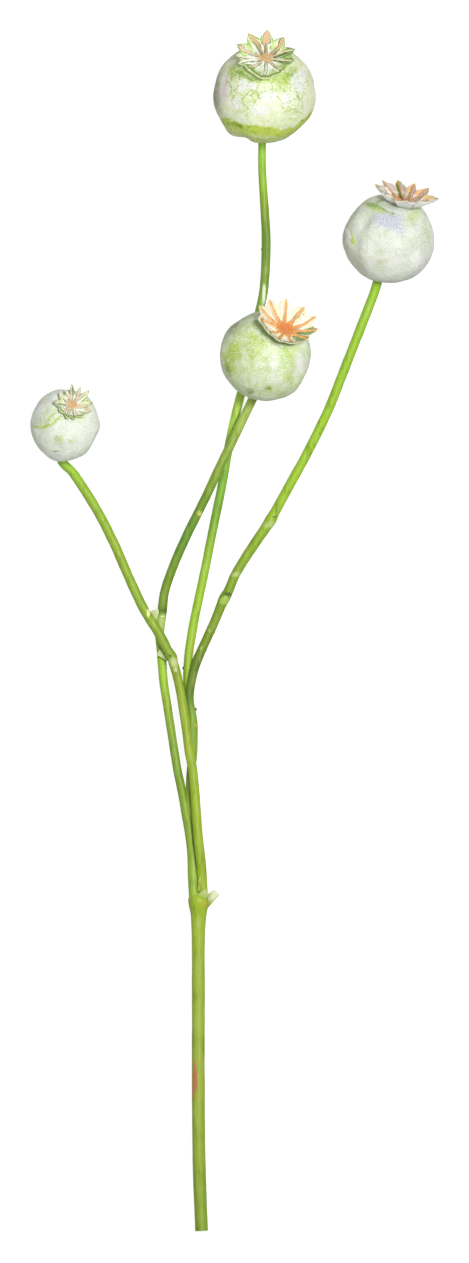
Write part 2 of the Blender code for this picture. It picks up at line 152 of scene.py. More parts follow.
class Bench:
    """Adds nodes to one tree, sets them and links them."""

    def __init__(self, tree: bpy.types.NodeTree) -> None:
        """Keeps the tree."""
        self.tree = tree

    def node(self, kind: str, values: dict[str | int, Any] | None = None,
             **settings: Any) -> bpy.types.Node:
        """Adds one node.

        Args:
            kind: The node's type.
            values: A number, colour or wire for each named socket.
            settings: Its own settings, set first; stops fills a colour ramp.

        Returns:
            The node.
        """
        made = self.tree.nodes.new(kind)
        for name, setting in settings.items():
            if name == "stops":
                self.fill_ramp(made.color_ramp, setting)
            else:
                setattr(made, name, setting)
        for key, value in (values or {}).items():
            socket = self.find(made.inputs, key)
            if isinstance(value, Wire):
                self.tree.links.new(value.socket, socket)
            else:
                socket.default_value = value
        return made

    @staticmethod
    def find(sockets: Any, key: str | int) -> bpy.types.NodeSocket:
        """Socket with an identifier, name or number.

        Args:
            sockets: A node's inputs or outputs.
            key: The identifier, name or number.

        Returns:
            The socket.
        """
        for socket in sockets:
            if socket.identifier == key:
                return socket
        return sockets[key]

    @staticmethod
    def fill_ramp(ramp: bpy.types.ColorRamp, stops: Sequence[tuple[float, Colour]]) -> None:
        """Gives a colour ramp its stops.

        Args:
            ramp: The ramp.
            stops: Position and colour of each stop.
        """
        while len(ramp.elements) < len(stops):
            ramp.elements.new(1.0)
        for element, (position, colour) in zip(ramp.elements, stops):
            element.position = position
            element.color = colour

    def wire(self, made: bpy.types.Node, key: str | int = 0) -> Wire:
        """Output of a node, by name or number."""
        return Wire(self, self.find(made.outputs, key))

    def add(self, kind: str, values: dict[str | int, Any] | None = None, key: str | int = 0,
            **settings: Any) -> Wire:
        """Adds one node and gives its output with a name or number."""
        return self.wire(self.node(kind, values, **settings), key)

    def math(self, operation: str, first: Wire | Number, second: Wire | Number = 0.0) -> Wire:
        """Math node on two values."""
        return self.add("ShaderNodeMath", {"Value": first, "Value_001": second}, operation=operation)

    def vector(self, operation: str, first: Wire | Point, second: Wire | Point) -> Wire:
        """Vector Math node on two vectors."""
        values = {"Vector": first, "Vector_001": second}
        return self.add("ShaderNodeVectorMath", values, operation=operation)

    def stretch(self, vector: Wire, factor: Wire | Number) -> Wire:
        """Vector made longer or shorter by a factor."""
        values = {"Vector": vector, "Scale": factor}
        return self.add("ShaderNodeVectorMath", values, operation="SCALE")

    def length(self, vector: Wire) -> Wire:
        """Length of a vector."""
        return self.add("ShaderNodeVectorMath", {"Vector": vector}, "Value", operation="LENGTH")

    def mix(self, share: Wire | Number, first: Wire | Colour, second: Wire | Colour) -> Wire:
        """Mixes a share of a second colour into the first."""
        values = {"Factor_Float": share, "A_Color": first, "B_Color": second}
        return self.add("ShaderNodeMix", values, "Result_Color", data_type="RGBA")

    def ease(self, value: Wire, low: float, high: float) -> Wire:
        """Rises smoothly from 0 to 1 between two limits.

        Args:
            value: The value to grade.
            low: Where the rise starts.
            high: Where it ends.

        Returns:
            A share from 0 to 1.
        """
        turned = low > high
        values = {"Value": value, "From Min": min(low, high), "From Max": max(low, high),
                  "To Min": float(turned), "To Max": float(not turned)}
        return self.add("ShaderNodeMapRange", values, "Result", interpolation_type="SMOOTHSTEP")

    def cloud(self, place: Wire, size: float, detail: float = 2.0, output: str = "Fac") -> Wire:
        """Noise from 0 to 1 with features of a size in millimetres and some finer layers."""
        values = {"Vector": place, "Scale": 1 / (size * MM), "Detail": detail, "Roughness": 0.55}
        return self.add("ShaderNodeTexNoise", values, output)

    def cells(self, place: Wire, size: float) -> Wire:
        """Distance from the edges of cells of a size in millimetres, in cell widths."""
        values = {"Vector": place, "Scale": 1 / (size * MM)}
        return self.add("ShaderNodeTexVoronoi", values, "Distance", feature="DISTANCE_TO_EDGE")

    def carried(self, name: str) -> Wire:
        """Value that the mesh carries under a name."""
        return self.add("ShaderNodeAttribute", key="Fac", attribute_name=name)

    def place(self) -> Wire:
        """Position on the piece itself."""
        return self.add("ShaderNodeTexCoord", key="Object")

    def warped(self, place: Wire, size: float, reach: float) -> Wire:
        """Position pushed a reach by noise of a size, both in millimetres."""
        push = self.vector("SUBTRACT", self.cloud(place, size, 2.0, "Color"), (0.5, 0.5, 0.5))
        return self.vector("ADD", place, self.stretch(push, reach * 2 * MM))

    def relief(self, height: Wire, depth: float, strength: float) -> Wire:
        """Normal for a height from 0 to 1 that stands for a depth in millimetres."""
        values = {"Height": height, "Distance": depth * MM, "Strength": strength}
        return self.add("ShaderNodeBump", values, "Normal")


def new_material(name: str, dress: Callable[[Bench], dict[str, Any]]) -> bpy.types.Material:
    """Material with one main shader.

    Args:
        name: Its name.
        dress: Builds the nodes and gives a value or wire for each of the shader's sockets.

    Returns:
        The material.
    """
    material = bpy.data.materials.new(name)
    material.use_nodes = True
    material.node_tree.nodes.clear()
    bench = Bench(material.node_tree)
    shader = bench.add("ShaderNodeBsdfPrincipled", dress(bench))
    bench.node("ShaderNodeOutputMaterial", {"Surface": shader})
    return material


def new_piece(name: str, points: Sequence[Vector], faces: Sequence[tuple[int, ...]],
              carried: dict[str, Sequence[float]]) -> bpy.types.Object:
    """Object with a smooth mesh, from points in millimetres.

    Args:
        name: The object's name.
        points: The corners.
        faces: Corners of each face.
        carried: Values of every corner, by name.

    Returns:
        The object, at the origin.
    """
    mesh = bpy.data.meshes.new(name)
    mesh.from_pydata([point * MM for point in points], [], faces)
    for key, values in carried.items():
        mesh.attributes.new(key, "FLOAT", "POINT").data.foreach_set("value", list(values))
    mesh.update()
    mesh.shade_smooth()
    piece = bpy.data.objects.new(name, mesh)
    bpy.context.scene.collection.objects.link(piece)
    return piece


def closed_faces(rings: int, sides: int) -> list[tuple[int, ...]]:
    """Faces of a closed skin over rings of corners, with a corner at each end.

    Args:
        rings: How many rings there are.
        sides: Corners of a ring.

    Returns:
        The faces: the first corner, the rings in order, and the last corner.
    """
    last = 1 + rings * sides
    faces: list[tuple[int, ...]] = []
    for k in range(sides):
        after = (k + 1) % sides
        faces.append((0, 1 + k, 1 + after))
        faces.append((last, last - sides + after, last - sides + k))
        for ring in range(rings - 1):
            low, high = 1 + ring * sides, 1 + (ring + 1) * sides
            faces.append((low + k, high + k, high + after, low + after))
    return faces


class Recipe:
    """A Geometry Nodes tree with named inputs, whose result becomes a plain mesh."""

    def __init__(self, name: str, inputs: dict[str, str]) -> None:
        """Starts a tree.

        Args:
            name: The tree's name.
            inputs: Type of each input after the geometry, by name.
        """
        self.tree = bpy.data.node_groups.new(name, "GeometryNodeTree")
        face = self.tree.interface
        face.new_socket("Geometry", in_out="INPUT", socket_type="NodeSocketGeometry")
        self.keys = {key: face.new_socket(key, in_out="INPUT", socket_type=kind).identifier
                     for key, kind in inputs.items()}
        face.new_socket("Geometry", in_out="OUTPUT", socket_type="NodeSocketGeometry")
        self.bench = Bench(self.tree)
        self.source = self.bench.node("NodeGroupInput")

    def given(self, name: str) -> Wire:
        """Wire from a named input."""
        return self.bench.wire(self.source, name)

    def noise(self, place: Wire, scale: Wire | float, detail: float) -> Wire:
        """Noise from 0 to 1 that the seed changes."""
        values = {"Vector": place, "W": self.given("Seed"), "Scale": scale, "Detail": detail}
        return self.bench.add("ShaderNodeTexNoise", values, "Fac", noise_dimensions="4D")

    def close(self, geometry: Wire, push: Wire) -> None:
        """Ends the tree with geometry that is moved by a push, made real and given its material.

        Args:
            geometry: What the tree has made.
            push: How far each of its points moves.
        """
        bench = self.bench
        moved = bench.add("GeometryNodeSetPosition", {"Geometry": geometry, "Offset": push})
        real = bench.add("GeometryNodeRealizeInstances", {"Geometry": moved})
        smooth = bench.add("GeometryNodeSetShadeSmooth", {"Geometry": real})
        values = {"Geometry": smooth, "Material": self.given("Finish")}
        bench.node("NodeGroupOutput", {"Geometry": bench.add("GeometryNodeSetMaterial", values)})

    def run(self, host: bpy.types.Object, values: dict[str, Any]) -> bpy.types.Object:
        """Turns a host object into a plain mesh made by the tree.

        Args:
            host: Object whose mesh goes in; it is used up.
            values: A value for each named input.

        Returns:
            The finished object, under the host's name.
        """
        name = host.name
        modifier = host.modifiers.new(self.tree.name, "NODES")
        modifier.node_group = self.tree
        for key, value in values.items():
            modifier[self.keys[key]] = value
        bpy.context.view_layer.update()
        seen = host.evaluated_get(bpy.context.evaluated_depsgraph_get())
        mesh = bpy.data.meshes.new_from_object(seen)
        bpy.data.objects.remove(host)
        mesh.name = name
        piece = bpy.data.objects.new(name, mesh)
        bpy.context.scene.collection.objects.link(piece)
        return piece


class Tint(Enum):
    """What a mark on a globe shows."""

    GREEN = "green"  # bare green skin
    LIME = "lime"  # thin yellow-green skin
    LILAC = "lilac"
    WARM = "warm"  # faint orange stain
    WHITE = "white"  # thick wax
    # painted shade on the side of a globe that turns from the light
    GREY = "grey"
    CRACK = "crack"  # where the wax has cracked


@dataclass(frozen=True)
class Mark:
    """A soft oval patch on the side of a globe that faces up.

    Its offset and half sizes are in millimetres; its turn is in degrees clockwise from +Y.
    """

    tint: Tint
    offset: Pair
    long: float
    wide: float
    turn: float = 0.0
    strength: float = 1.0

    def share(self, dx: float, dy: float) -> float:
        """How strongly the mark shows at an offset.

        Args:
            dx: Offset to the right.
            dy: Offset along +Y.

        Returns:
            A share, 0 where there is no mark.
        """
        turn = math.radians(self.turn)
        x, y = dx - self.offset[0], dy - self.offset[1]
        along = (x * math.sin(turn) + y * math.cos(turn)) / self.long
        across = (x * math.cos(turn) - y * math.sin(turn)) / self.wide
        return self.strength * math.exp(-(along * along + across * across))


def tinted(tint: Tint, *rows: tuple[float, ...]) -> tuple[Mark, ...]:
    """Marks of one tint, from rows of offset, half sizes and, if given, turn and strength."""
    return tuple(Mark(tint, (x, y), *rest) for x, y, *rest in rows)


@dataclass(frozen=True)
class WaxFinish:
    """Matt wax bloom over green skin, broken by fine cracks, with bare skin below a tide line."""

    name: str
    light: Colour
    shade: Colour
    crack: Colour
    bare: Colour
    deep: Colour
    lilac: Colour
    cell: float  # width of the pieces between cracks
    shift: float  # moves the pattern, so that two heads differ
    speck: float = 0.3  # how dark the fine specks are

    WARM = rgb(214, 186, 138)
    WHITE = rgb(240, 242, 234)
    # painted shade for the side of a globe that turns from the light
    GREY = rgb(134, 138, 98)
    LIME = rgb(186, 212, 86)
    SPECK = rgb(255, 255, 252)

    def material(self) -> bpy.types.Material:
        """The finished material."""
        return new_material(self.name, self.dress)

    def dress(self, bench: Bench) -> dict[str, Any]:
        """Nodes of the wax.

        Args:
            bench: Where they go.

        Returns:
            A value or wire for each socket of the shader.
        """
        place = bench.vector("ADD", bench.place(), (self.shift, self.shift, self.shift))
        broad = bench.cloud(place, 9.0)
        patch = bench.cloud(place, 3.2, 3.0)
        fine = bench.cloud(place, 1.1, 2.0)
        grain = bench.cloud(place, 0.5, 1.0)
        rough = patch * 0.5 + fine * 0.5 - 0.5
        colour = bench.mix(bench.ease(broad * 0.5 + patch * 0.5, 0.36, 0.6), self.light, self.shade)
        # lime, lilac and warm are the skin's own tints; the grey-green tint among them is painted shade
        for name, tint in (("lime", self.LIME), ("grey", self.GREY), ("lilac", self.lilac),
                           ("warm", self.WARM)):
            mark = bench.carried(name)
            share = bench.ease(mark + rough * 0.8, 0.05, 0.95) * bench.ease(mark, 0.0, 0.2)
            colour = bench.mix(share, colour, tint)
        edge = bench.cells(bench.warped(place, 3.0, 2.2), self.cell)
        line = bench.ease(edge + (fine - 0.5) * 0.14, 0.09, 0.0)
        worn = bench.ease(bench.carried("crack") + rough * 1.4, 0.15, 0.75)
        colour = bench.mix(line * worn, colour, self.crack)
        white = bench.ease(bench.carried("white") + rough * 1.3, 0.25, 0.6)
        colour = bench.mix(white * (1 - line * worn * 0.4), colour, self.WHITE)
        tide = bench.carried("tide") + (patch - 0.5) * 3.4 + (fine - 0.5) * 2.0
        lower = bench.mix(bench.ease(fine, 0.42, 0.58), self.shade, self.bare)
        bare = bench.ease(tide, -0.5, 0.5)
        skin = bench.mix(bench.ease(fine * 0.5 + patch * 0.5, 0.5, 0.64), self.bare, self.deep)
        skin = bench.mix(bench.ease(tide, 2.6, 4.6) * 0.85, skin, lower)
        colour = bench.mix(bare * 0.95, colour, skin)
        green = bench.ease(bench.carried("green") + rough * 1.1, 0.12, 0.75)
        colour = bench.mix(green * 0.9, colour, self.deep)
        speck = bench.ease(grain + (fine - 0.5) * 0.3, 0.5, 0.66)
        colour = bench.mix(speck * (0.6 - bare * 0.45), colour, self.SPECK)
        dark = bench.ease(bench.cloud(place, 0.55, 0.0), 0.42, 0.24)
        colour = bench.mix(dark * self.speck, colour, self.deep)
        height = patch * 0.35 + fine * 0.3 + grain * 0.35 - line * worn * 0.15
        return {"Base Color": colour, "Roughness": 0.5 + 0.2 * fine - 0.1 * bare,
                "Specular IOR Level": 0.35, "Normal": bench.relief(height, 0.45, 0.75)}


@dataclass(frozen=True)
class CrownFinish:
    """Tan rays over glossy white hollows, with green towards the edge."""

    name: str
    ray: Colour
    boss: Colour
    tip: Colour
    pocket: Colour
    lobe: Colour
    edge: Colour
    under: Colour
    lip: Colour
    shift: float
    ray_shadow: float = 0.8  # how dark the painted shadow line beside each ray is
    mottle: float = 0.75  # how much of the edge's colour spreads in patches
    turned: float = 0.0  # how strongly each lobe's clockwise half is painted in shade
    painted_highlight: float = 0.9  # how strong the painted highlight strip beside each ray is

    # painted shadow beside each ray
    RAY_SHADOW = rgb(98, 96, 36)
    # painted shade for a lobe's clockwise half
    SHADED_HALF = rgb(204, 198, 202)
    # cream of the pale rays, and the painted highlight strip beside each ray
    CREAM_AND_HIGHLIGHT = rgb(253, 252, 240)
    GREEN = rgb(96, 136, 40)
    # painted shade for the neck under the disc
    THROAT_SHADE = rgb(74, 96, 32)
    SHEEN = rgb(255, 238, 206)

    def material(self) -> bpy.types.Material:
        """The finished material."""
        return new_material(self.name, self.dress)

    def dress(self, bench: Bench) -> dict[str, Any]:
        """Nodes of the crown.

        Args:
            bench: Where they go.

        Returns:
            A value or wire for each socket of the shader.
        """
        place = bench.vector("ADD", bench.place(), (self.shift, self.shift, self.shift))
        patch = bench.cloud(place, 1.9, 2.0)
        fine = bench.cloud(place, 0.7, 2.0)
        rough = patch * 0.5 + fine * 0.5 - 0.5
        part = bench.carried("part")
        ray = bench.carried("ray") + (fine - 0.5) * 0.12
        blush = bench.carried("blush")
        colour = bench.mix(bench.ease(part + rough * 1.2, 0.42, 0.8), self.pocket, self.lobe)
        colour = bench.mix(bench.ease(rough, 0.0, 0.12) * self.mottle, colour, self.edge)
        # painted shade on the clockwise half of each lobe
        half = bench.carried("half") * self.turned
        colour = bench.mix(half, colour, self.SHADED_HALF)
        green = bench.ease(bench.carried("green") + rough * 1.2, 0.25, 0.8) * (1 - half)
        colour = bench.mix(green * 0.85, colour, self.GREEN)
        # painted highlight: a white strip along each side of a ray
        highlight_strip = bench.ease(ray, 0.02, 0.14) * bench.ease(ray, 0.38, 0.28)
        outer = bench.ease(part, 0.2, 0.5)
        painted_highlight = bench.ease(patch, 0.3, 0.5) * self.painted_highlight * (1 - green * outer * 0.8)
        colour = bench.mix(highlight_strip * painted_highlight, colour, self.CREAM_AND_HIGHLIGHT)
        # painted shadow line beside each ray, where a raised ray shades the hollow
        shadow_line = bench.ease(ray, 0.26, 0.36) * bench.ease(ray, 0.52, 0.45)
        colour = bench.mix(shadow_line * bench.ease(patch, 0.28, 0.5) * self.ray_shadow, colour, self.RAY_SHADOW)
        tan = bench.mix(bench.ease(part, 0.16, 0.4), self.boss, self.ray)
        tan = bench.mix(bench.ease(part, 0.45, 0.75) * blush, tan, self.tip)
        tan = bench.mix(bench.ease(fine, 0.45, 0.7) * 0.4, tan, self.SHEEN)
        tan = bench.mix(bench.carried("pale") * outer * 0.9, tan, self.CREAM_AND_HIGHLIGHT)
        colour = bench.mix(bench.ease(ray, 0.45, 0.54), colour, tan)
        near, ragged = bench.carried("near"), part + rough * 0.16
        line = bench.ease(ragged, 0.78, 0.84) * bench.ease(ragged, 0.95, 0.89)
        colour = bench.mix(line * near * 0.8, colour, self.GREEN)
        rim = bench.ease(part + rough * 0.2, 0.92, 0.98) * (1 - blush * 0.6) * (1 - near)
        colour = bench.mix(rim * 0.85, colour, self.edge)
        colour = bench.mix(bench.ease(ragged, 0.88, 0.94) * near, colour, self.lip)
        below = bench.mix(bench.ease(rough, -0.05, 0.1) * self.mottle * 0.7, self.under, self.edge)
        colour = bench.mix(bench.carried("under"), colour, below)
        # painted shade on the neck under the disc
        colour = bench.mix(bench.carried("throat"), colour, self.THROAT_SHADE)
        height = fine * 0.5 + patch * 0.5
        return {"Base Color": colour, "Roughness": 0.24 + 0.25 * fine,
                "Specular IOR Level": 0.5, "Normal": bench.relief(height, 0.3, 0.7)}


@dataclass(frozen=True)
class Spot:
    """A small mark on a stem, at a place seen from above, in millimetres and half sizes."""

    place: Pair
    long: float
    wide: float
    colour: Colour
    strength: float = 1.0


@dataclass(frozen=True)
class StemFinish:
    """Satin green rind whose colour changes along its length.

    The tones are heights along Y, in millimetres, and the colour there.
    """

    name: str
    tones: tuple[tuple[float, Colour], ...]
    shift: float
    spots: tuple[Spot, ...] = ()

    PALE = rgb(196, 214, 122)
    DARK = rgb(84, 116, 22)
    FLECK = rgb(224, 236, 150)

    def material(self) -> bpy.types.Material:
        """The finished material."""
        return new_material(self.name, self.dress)

    def dress(self, bench: Bench) -> dict[str, Any]:
        """Nodes of the rind.

        Args:
            bench: Where they go.

        Returns:
            A value or wire for each socket of the shader.
        """
        low, high = self.tones[0][0], self.tones[-1][0]
        place = bench.vector("ADD", bench.place(), (self.shift, 0.0, self.shift))
        height = bench.add("ShaderNodeSeparateXYZ", {"Vector": bench.place()}, "Y")
        along = (height * (1 / MM) - low) * (1 / (high - low))
        stops = [((y - low) / (high - low), colour) for y, colour in self.tones]
        tone = bench.add("ShaderNodeValToRGB", {"Fac": along}, "Color", stops=stops)
        drawn = bench.vector("MULTIPLY", place, (1.0, 0.09, 1.0))
        streak = bench.cloud(drawn, 0.9, 3.0)
        patch = bench.cloud(bench.vector("MULTIPLY", place, (1.0, 0.3, 1.0)), 2.8, 3.0)
        fine = bench.cloud(place, 0.45, 2.0)
        colour = bench.mix(bench.ease(streak * 0.6 + patch * 0.4, 0.5, 0.7) * 0.25, tone, self.PALE)
        colour = bench.mix(bench.ease(patch * 0.6 + streak * 0.4, 0.5, 0.34) * 0.4, colour, self.DARK)
        colour = bench.mix(bench.ease(fine, 0.6, 0.75) * 0.15, colour, self.FLECK)
        for spot in self.spots:
            x, y = spot.place
            arm = bench.vector("SUBTRACT", bench.place(), (x * MM, y * MM, 0.0))
            scale = (1 / (spot.wide * MM), 1 / (spot.long * MM), 0.0)
            arm = bench.vector("MULTIPLY", arm, scale)
            share = bench.ease(bench.length(arm) + (patch + fine - 1.0) * 2.2, 1.2, 0.6)
            colour = bench.mix(share * spot.strength, colour, spot.colour)
        height = streak * 0.6 + patch * 0.2 + fine * 0.2
        return {"Base Color": colour, "Roughness": 0.36 + 0.2 * patch,
                "Specular IOR Level": 0.35, "Normal": bench.relief(height, 0.25, 0.6)}


@dataclass(frozen=True)
class Lobe:
    """One lobe of a crown, with the ray that runs out to its tip.

    Its tip is an offset from the crown's boss, seen from above, and stands a lift above the disc.
    """

    tip: Pair
    lift: float
    blush: float = 0.0  # how far its ray broadens and turns peach
    green: float = 0.0
    bend: float = 0.0  # how far its ray swings aside half way, in radians
    pale: float = 0.0  # how far its ray fades to cream


@dataclass(frozen=True)
class Spoke:
    """A line from a crown's boss to its rim."""

    angle: float  # round angle, 0 at the far side
    share: float  # place across its lobe, 0 at the tip and half at a notch
    reach: float  # the lobe's reach there
    lift: float  # the lobe's lift there
    swing: float  # angle between the line and the lobe's ray
    lobe: Lobe

    def aside(self) -> float:
        """How far from the lobe's middle it lies, 1 at a notch."""
        return abs(2 * self.share)


@dataclass(frozen=True)
class Crown:
    """The lobed stigma disc of one head. Its lobes go clockwise from the far side."""

    name: str
    boss: Point  # where the rays meet, seen from the globe's centre
    lean: Pair  # heading and rise of its axis
    lobes: tuple[Lobe, ...]
    finish: CrownFinish
    seed: int
    notches: Pair = (0.76, 0.93)  # how far out they lie at the far and near side, as a share
    fullness: float = 0.9  # below 1 for rounder lobes, above 1 for narrower ones
    body: float = 1.8  # thickness in the middle
    fold: float = 0.0  # how far a lobe's sides stand above its middle, as a share of its reach
    ray_width: float = 0.5  # half the width of a ray
    fan: float = 2.4  # how much a blushing ray broadens at its end
    taper: float = 0.3  # how much a ray narrows on its way out
    boss_size: float = 1.9  # radius of the boss
    gap: float = 0.3  # between the crown and its capsule

    PER_LOBE = 30  # spokes of one lobe
    TOP_RINGS = 40
    UNDER_RINGS = 10
    USUAL_REACH = 13.0
    NECK = 5.2  # its radius under a disc of the usual reach
    RAY_HEIGHT = 0.7
    POCKET = 1.5  # depth of the hollows between the rays of such a disc
    RIM = 0.5  # thickness at the rim
    FLESH = 1.2  # thickness near the neck
    UNDERCUT = 0.26  # how far in the lower side's slope reaches, as a share of the way
    CUPPING = 1.7  # how late the lobes turn up
    DISH = 0.1
    BLEND = 1.2  # how far the rays' feet blend into the boss
    CARRIED = ("part", "ray", "blush", "green", "under", "throat", "pale", "half", "near")

    def axis(self) -> Vector:
        """Which way the disc faces."""
        return aim(*self.lean)

    def far(self) -> Vector:
        """Across the disc, away from the camera's side."""
        return aim(self.lean[0], self.lean[1] - 90)

    def side(self) -> Vector:
        """Across the disc, clockwise from the far side."""
        far = self.far()
        return Vector((far.y, -far.x, 0.0)).normalized()

    def seat(self) -> float:
        """How far from the globe's centre the capsule's flat top lies, along the disc's axis."""
        return Vector(self.boss).dot(self.axis()) - self.RAY_HEIGHT - self.body - self.gap

    def spread(self) -> list[Point]:
        """Round angle, reach and lift of every lobe.

        Returns:
            One set for each lobe, with rising angles.
        """
        axis, far, side = self.axis(), self.far(), self.side()
        found: list[Point] = []
        for lobe in self.lobes:
            x, y = lobe.tip[0] - axis.x * lobe.lift, lobe.tip[1] - axis.y * lobe.lift
            area = far.x * side.y - side.x * far.y
            along = (x * side.y - side.x * y) / area
            across = (far.x * y - x * far.y) / area
            angle = math.atan2(across, along)
            while found and angle < found[-1][0]:
                angle += math.tau
            found.append((angle, math.hypot(along, across), lobe.lift))
        return found

    def spokes(self) -> list[Spoke]:
        """Lines from the boss to the rim.

        Returns:
            The lines, in order round the disc.
        """
        spread = self.spread()
        lines: list[Spoke] = []
        for k, (angle, reach, lift) in enumerate(spread):
            for step in range(self.PER_LOBE):
                share = step / self.PER_LOBE - 0.5
                other = spread[(k + (1 if share > 0 else -1)) % len(spread)]
                turn = (other[0] - angle + math.pi) % math.tau - math.pi
                swing = abs(share) * turn
                mixed = [a + (b - a) * abs(share) for a, b in zip((reach, lift), other[1:])]
                lines.append(Spoke(angle + swing, share, *mixed, swing, self.lobes[k]))
        return lines

    def rim(self, spoke: Spoke) -> float:
        """Distance from the boss out to the rim.

        Args:
            spoke: The line to go out along.

        Returns:
            The distance.
        """
        near = 0.5 - 0.5 * math.cos(spoke.angle)
        notch = self.notches[0] + (self.notches[1] - self.notches[0]) * near
        return spoke.reach * (notch + (1 - notch) * (1 - spoke.aside()) ** self.fullness)

    def cup(self, spoke: Spoke, out: float, part: float) -> float:
        """Height of the plain disc at a distance out, which is a part of the way to the rim."""
        return spoke.lift * (out / spoke.reach) ** self.CUPPING + self.DISH * part

    def outside(self, spoke: Spoke, out: float, part: float) -> float:
        """Distance outside the rays and the boss.

        Args:
            spoke: The line that the place is on.
            out: Distance from the boss.
            part: The same as a share of the way to the rim.

        Returns:
            The distance in millimetres, below zero on a ray.
        """
        lobe, swing = spoke.lobe, spoke.swing
        spread = lobe.blush * soft_step(part, 0.5, 0.82) * (1 - 0.7 * soft_step(part, 0.86, 1.0))
        uneven = 1 + 0.5 * ripple(Vector((out, swing, self.seed + lobe.tip[0])), 2.0)
        wide = self.ray_width * uneven * (1 + self.fan * spread) * (1 - self.taper * part * (1 - spread))
        across = abs(swing + lobe.bend * math.sin(math.pi * part)) * out - wide
        boss = out - self.boss_size * (1 + 0.35 * ripple(Vector((swing, 0.0, lobe.tip[1])), 0.5))
        blend = max(0.0, self.BLEND - abs(across - boss)) / self.BLEND
        return min(across, boss) - 0.3 * blend * blend

    def top(self, spokes: Sequence[Spoke], size: float) -> Iterator[Corner]:
        """Corners of the upper side, ring by ring from the boss to the rim.

        Args:
            spokes: Lines from the boss to the rim.
            size: Reach of the first lobe.

        Returns:
            The corners, one after another.
        """
        for ring in range(1, self.TOP_RINGS + 1):
            part = (ring / self.TOP_RINGS) ** 0.9
            for spoke in spokes:
                angle, lobe = spoke.angle, spoke.lobe
                out = self.rim(spoke) * part
                outside = self.outside(spoke, out, part)
                ridge = soft_step(-outside, -0.6, 0.3)
                deep = soft_step(part, 0.1, 0.35) * (1 - soft_step(part, 0.55, 1.0))
                deep *= self.POCKET * size / self.USUAL_REACH * (0.7 + 0.3 * math.cos(angle))
                height = self.cup(spoke, out, part) - deep * (1 - ridge)
                height += self.RAY_HEIGHT * ridge * (1 - 0.6 * soft_step(part, 0.6, 1.0))
                height += self.fold * spoke.reach * spoke.aside() * soft_step(part, 0.3, 1.0)
                spot = Vector((math.cos(angle), math.sin(angle), self.seed)) * out
                height += (ripple(spot, 2.2) * 0.45 + ripple(spot, 0.9) * 0.12) * part
                middle = 1 - spoke.aside() ** 3
                yield angle, out, height, {
                    "part": part, "ray": min(1.0, max(0.0, 0.5 - outside / 2)),
                    "blush": lobe.blush * middle, "green": lobe.green * middle, "pale": lobe.pale,
                    "half": soft_step(spoke.share, 0.0, 0.06),
                    "near": soft_step(-math.cos(angle), 0.1, 0.7)}

    def under(self, spokes: Sequence[Spoke], size: float) -> Iterator[Corner]:
        """Corners of the lower side, ring by ring from the rim down the neck.

        Args:
            spokes: Lines from the boss to the rim.
            size: Reach of the first lobe.

        Returns:
            The corners, one after another.
        """
        for ring in range(1, self.UNDER_RINGS + 1):
            deep = ring / self.UNDER_RINGS
            part = 1.0 - self.UNDERCUT * deep
            thick = (self.RIM + (self.FLESH - self.RIM) * deep) * soft_step(deep, -0.3, 0.4)
            for spoke in spokes:
                out = self.rim(spoke) * part
                fold = self.fold * spoke.reach * spoke.aside()
                yield spoke.angle, out, self.cup(spoke, out, part) - thick + fold, {
                    "part": part, "green": spoke.lobe.green, "under": 1.0}
        neck = self.NECK * size / self.USUAL_REACH
        for out, height, deep in ((neck * 1.05, -self.body * 0.6, 0.6), (neck, 0.35 - self.body, 1.0),
                                  (neck * 0.94, -self.body, 1.0)):
            for spoke in spokes:
                yield spoke.angle, out, height, {"under": 1.0, "throat": deep}

    def build(self, centre: Vector) -> bpy.types.Object:
        """Makes the crown.

        Args:
            centre: The globe's centre.

        Returns:
            The finished piece.
        """
        axis, far, side = self.axis(), self.far(), self.side()
        middle = centre + Vector(self.boss) - axis * self.RAY_HEIGHT
        spokes = self.spokes()
        size = self.spread()[0][1]
        corners: list[Corner] = [
            (0.0, 0.0, self.RAY_HEIGHT, {"ray": 1.0}), *self.top(spokes, size),
            *self.under(spokes, size), (0.0, 0.0, -self.body, {"under": 1.0, "throat": 1.0})]
        points = [middle + (far * math.cos(angle) + side * math.sin(angle)) * out + axis * height
                  for angle, out, height, _ in corners]
        carried = {name: [facts.get(name, 0.0) for *_, facts in corners] for name in self.CARRIED}
        rings = (len(points) - 2) // len(spokes)
        faces = closed_faces(rings, len(spokes))
        piece = new_piece("crown_disc_" + self.name, points, faces, carried)
        piece.data.materials.append(self.finish.material())
        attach(piece, "root")
        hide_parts("crown_" + self.name)
        return piece


@dataclass(frozen=True)
class Facet:
    """A side of a globe that is pressed flat."""

    heading: float
    rise: float
    reach: float  # how far from the centre it lies, as a share of the radius


@dataclass(frozen=True)
class Dent:
    """A soft hollow in a globe, or a swelling where its depth is below zero."""

    heading: float
    rise: float
    spread: float  # degrees from its middle
    depth: float


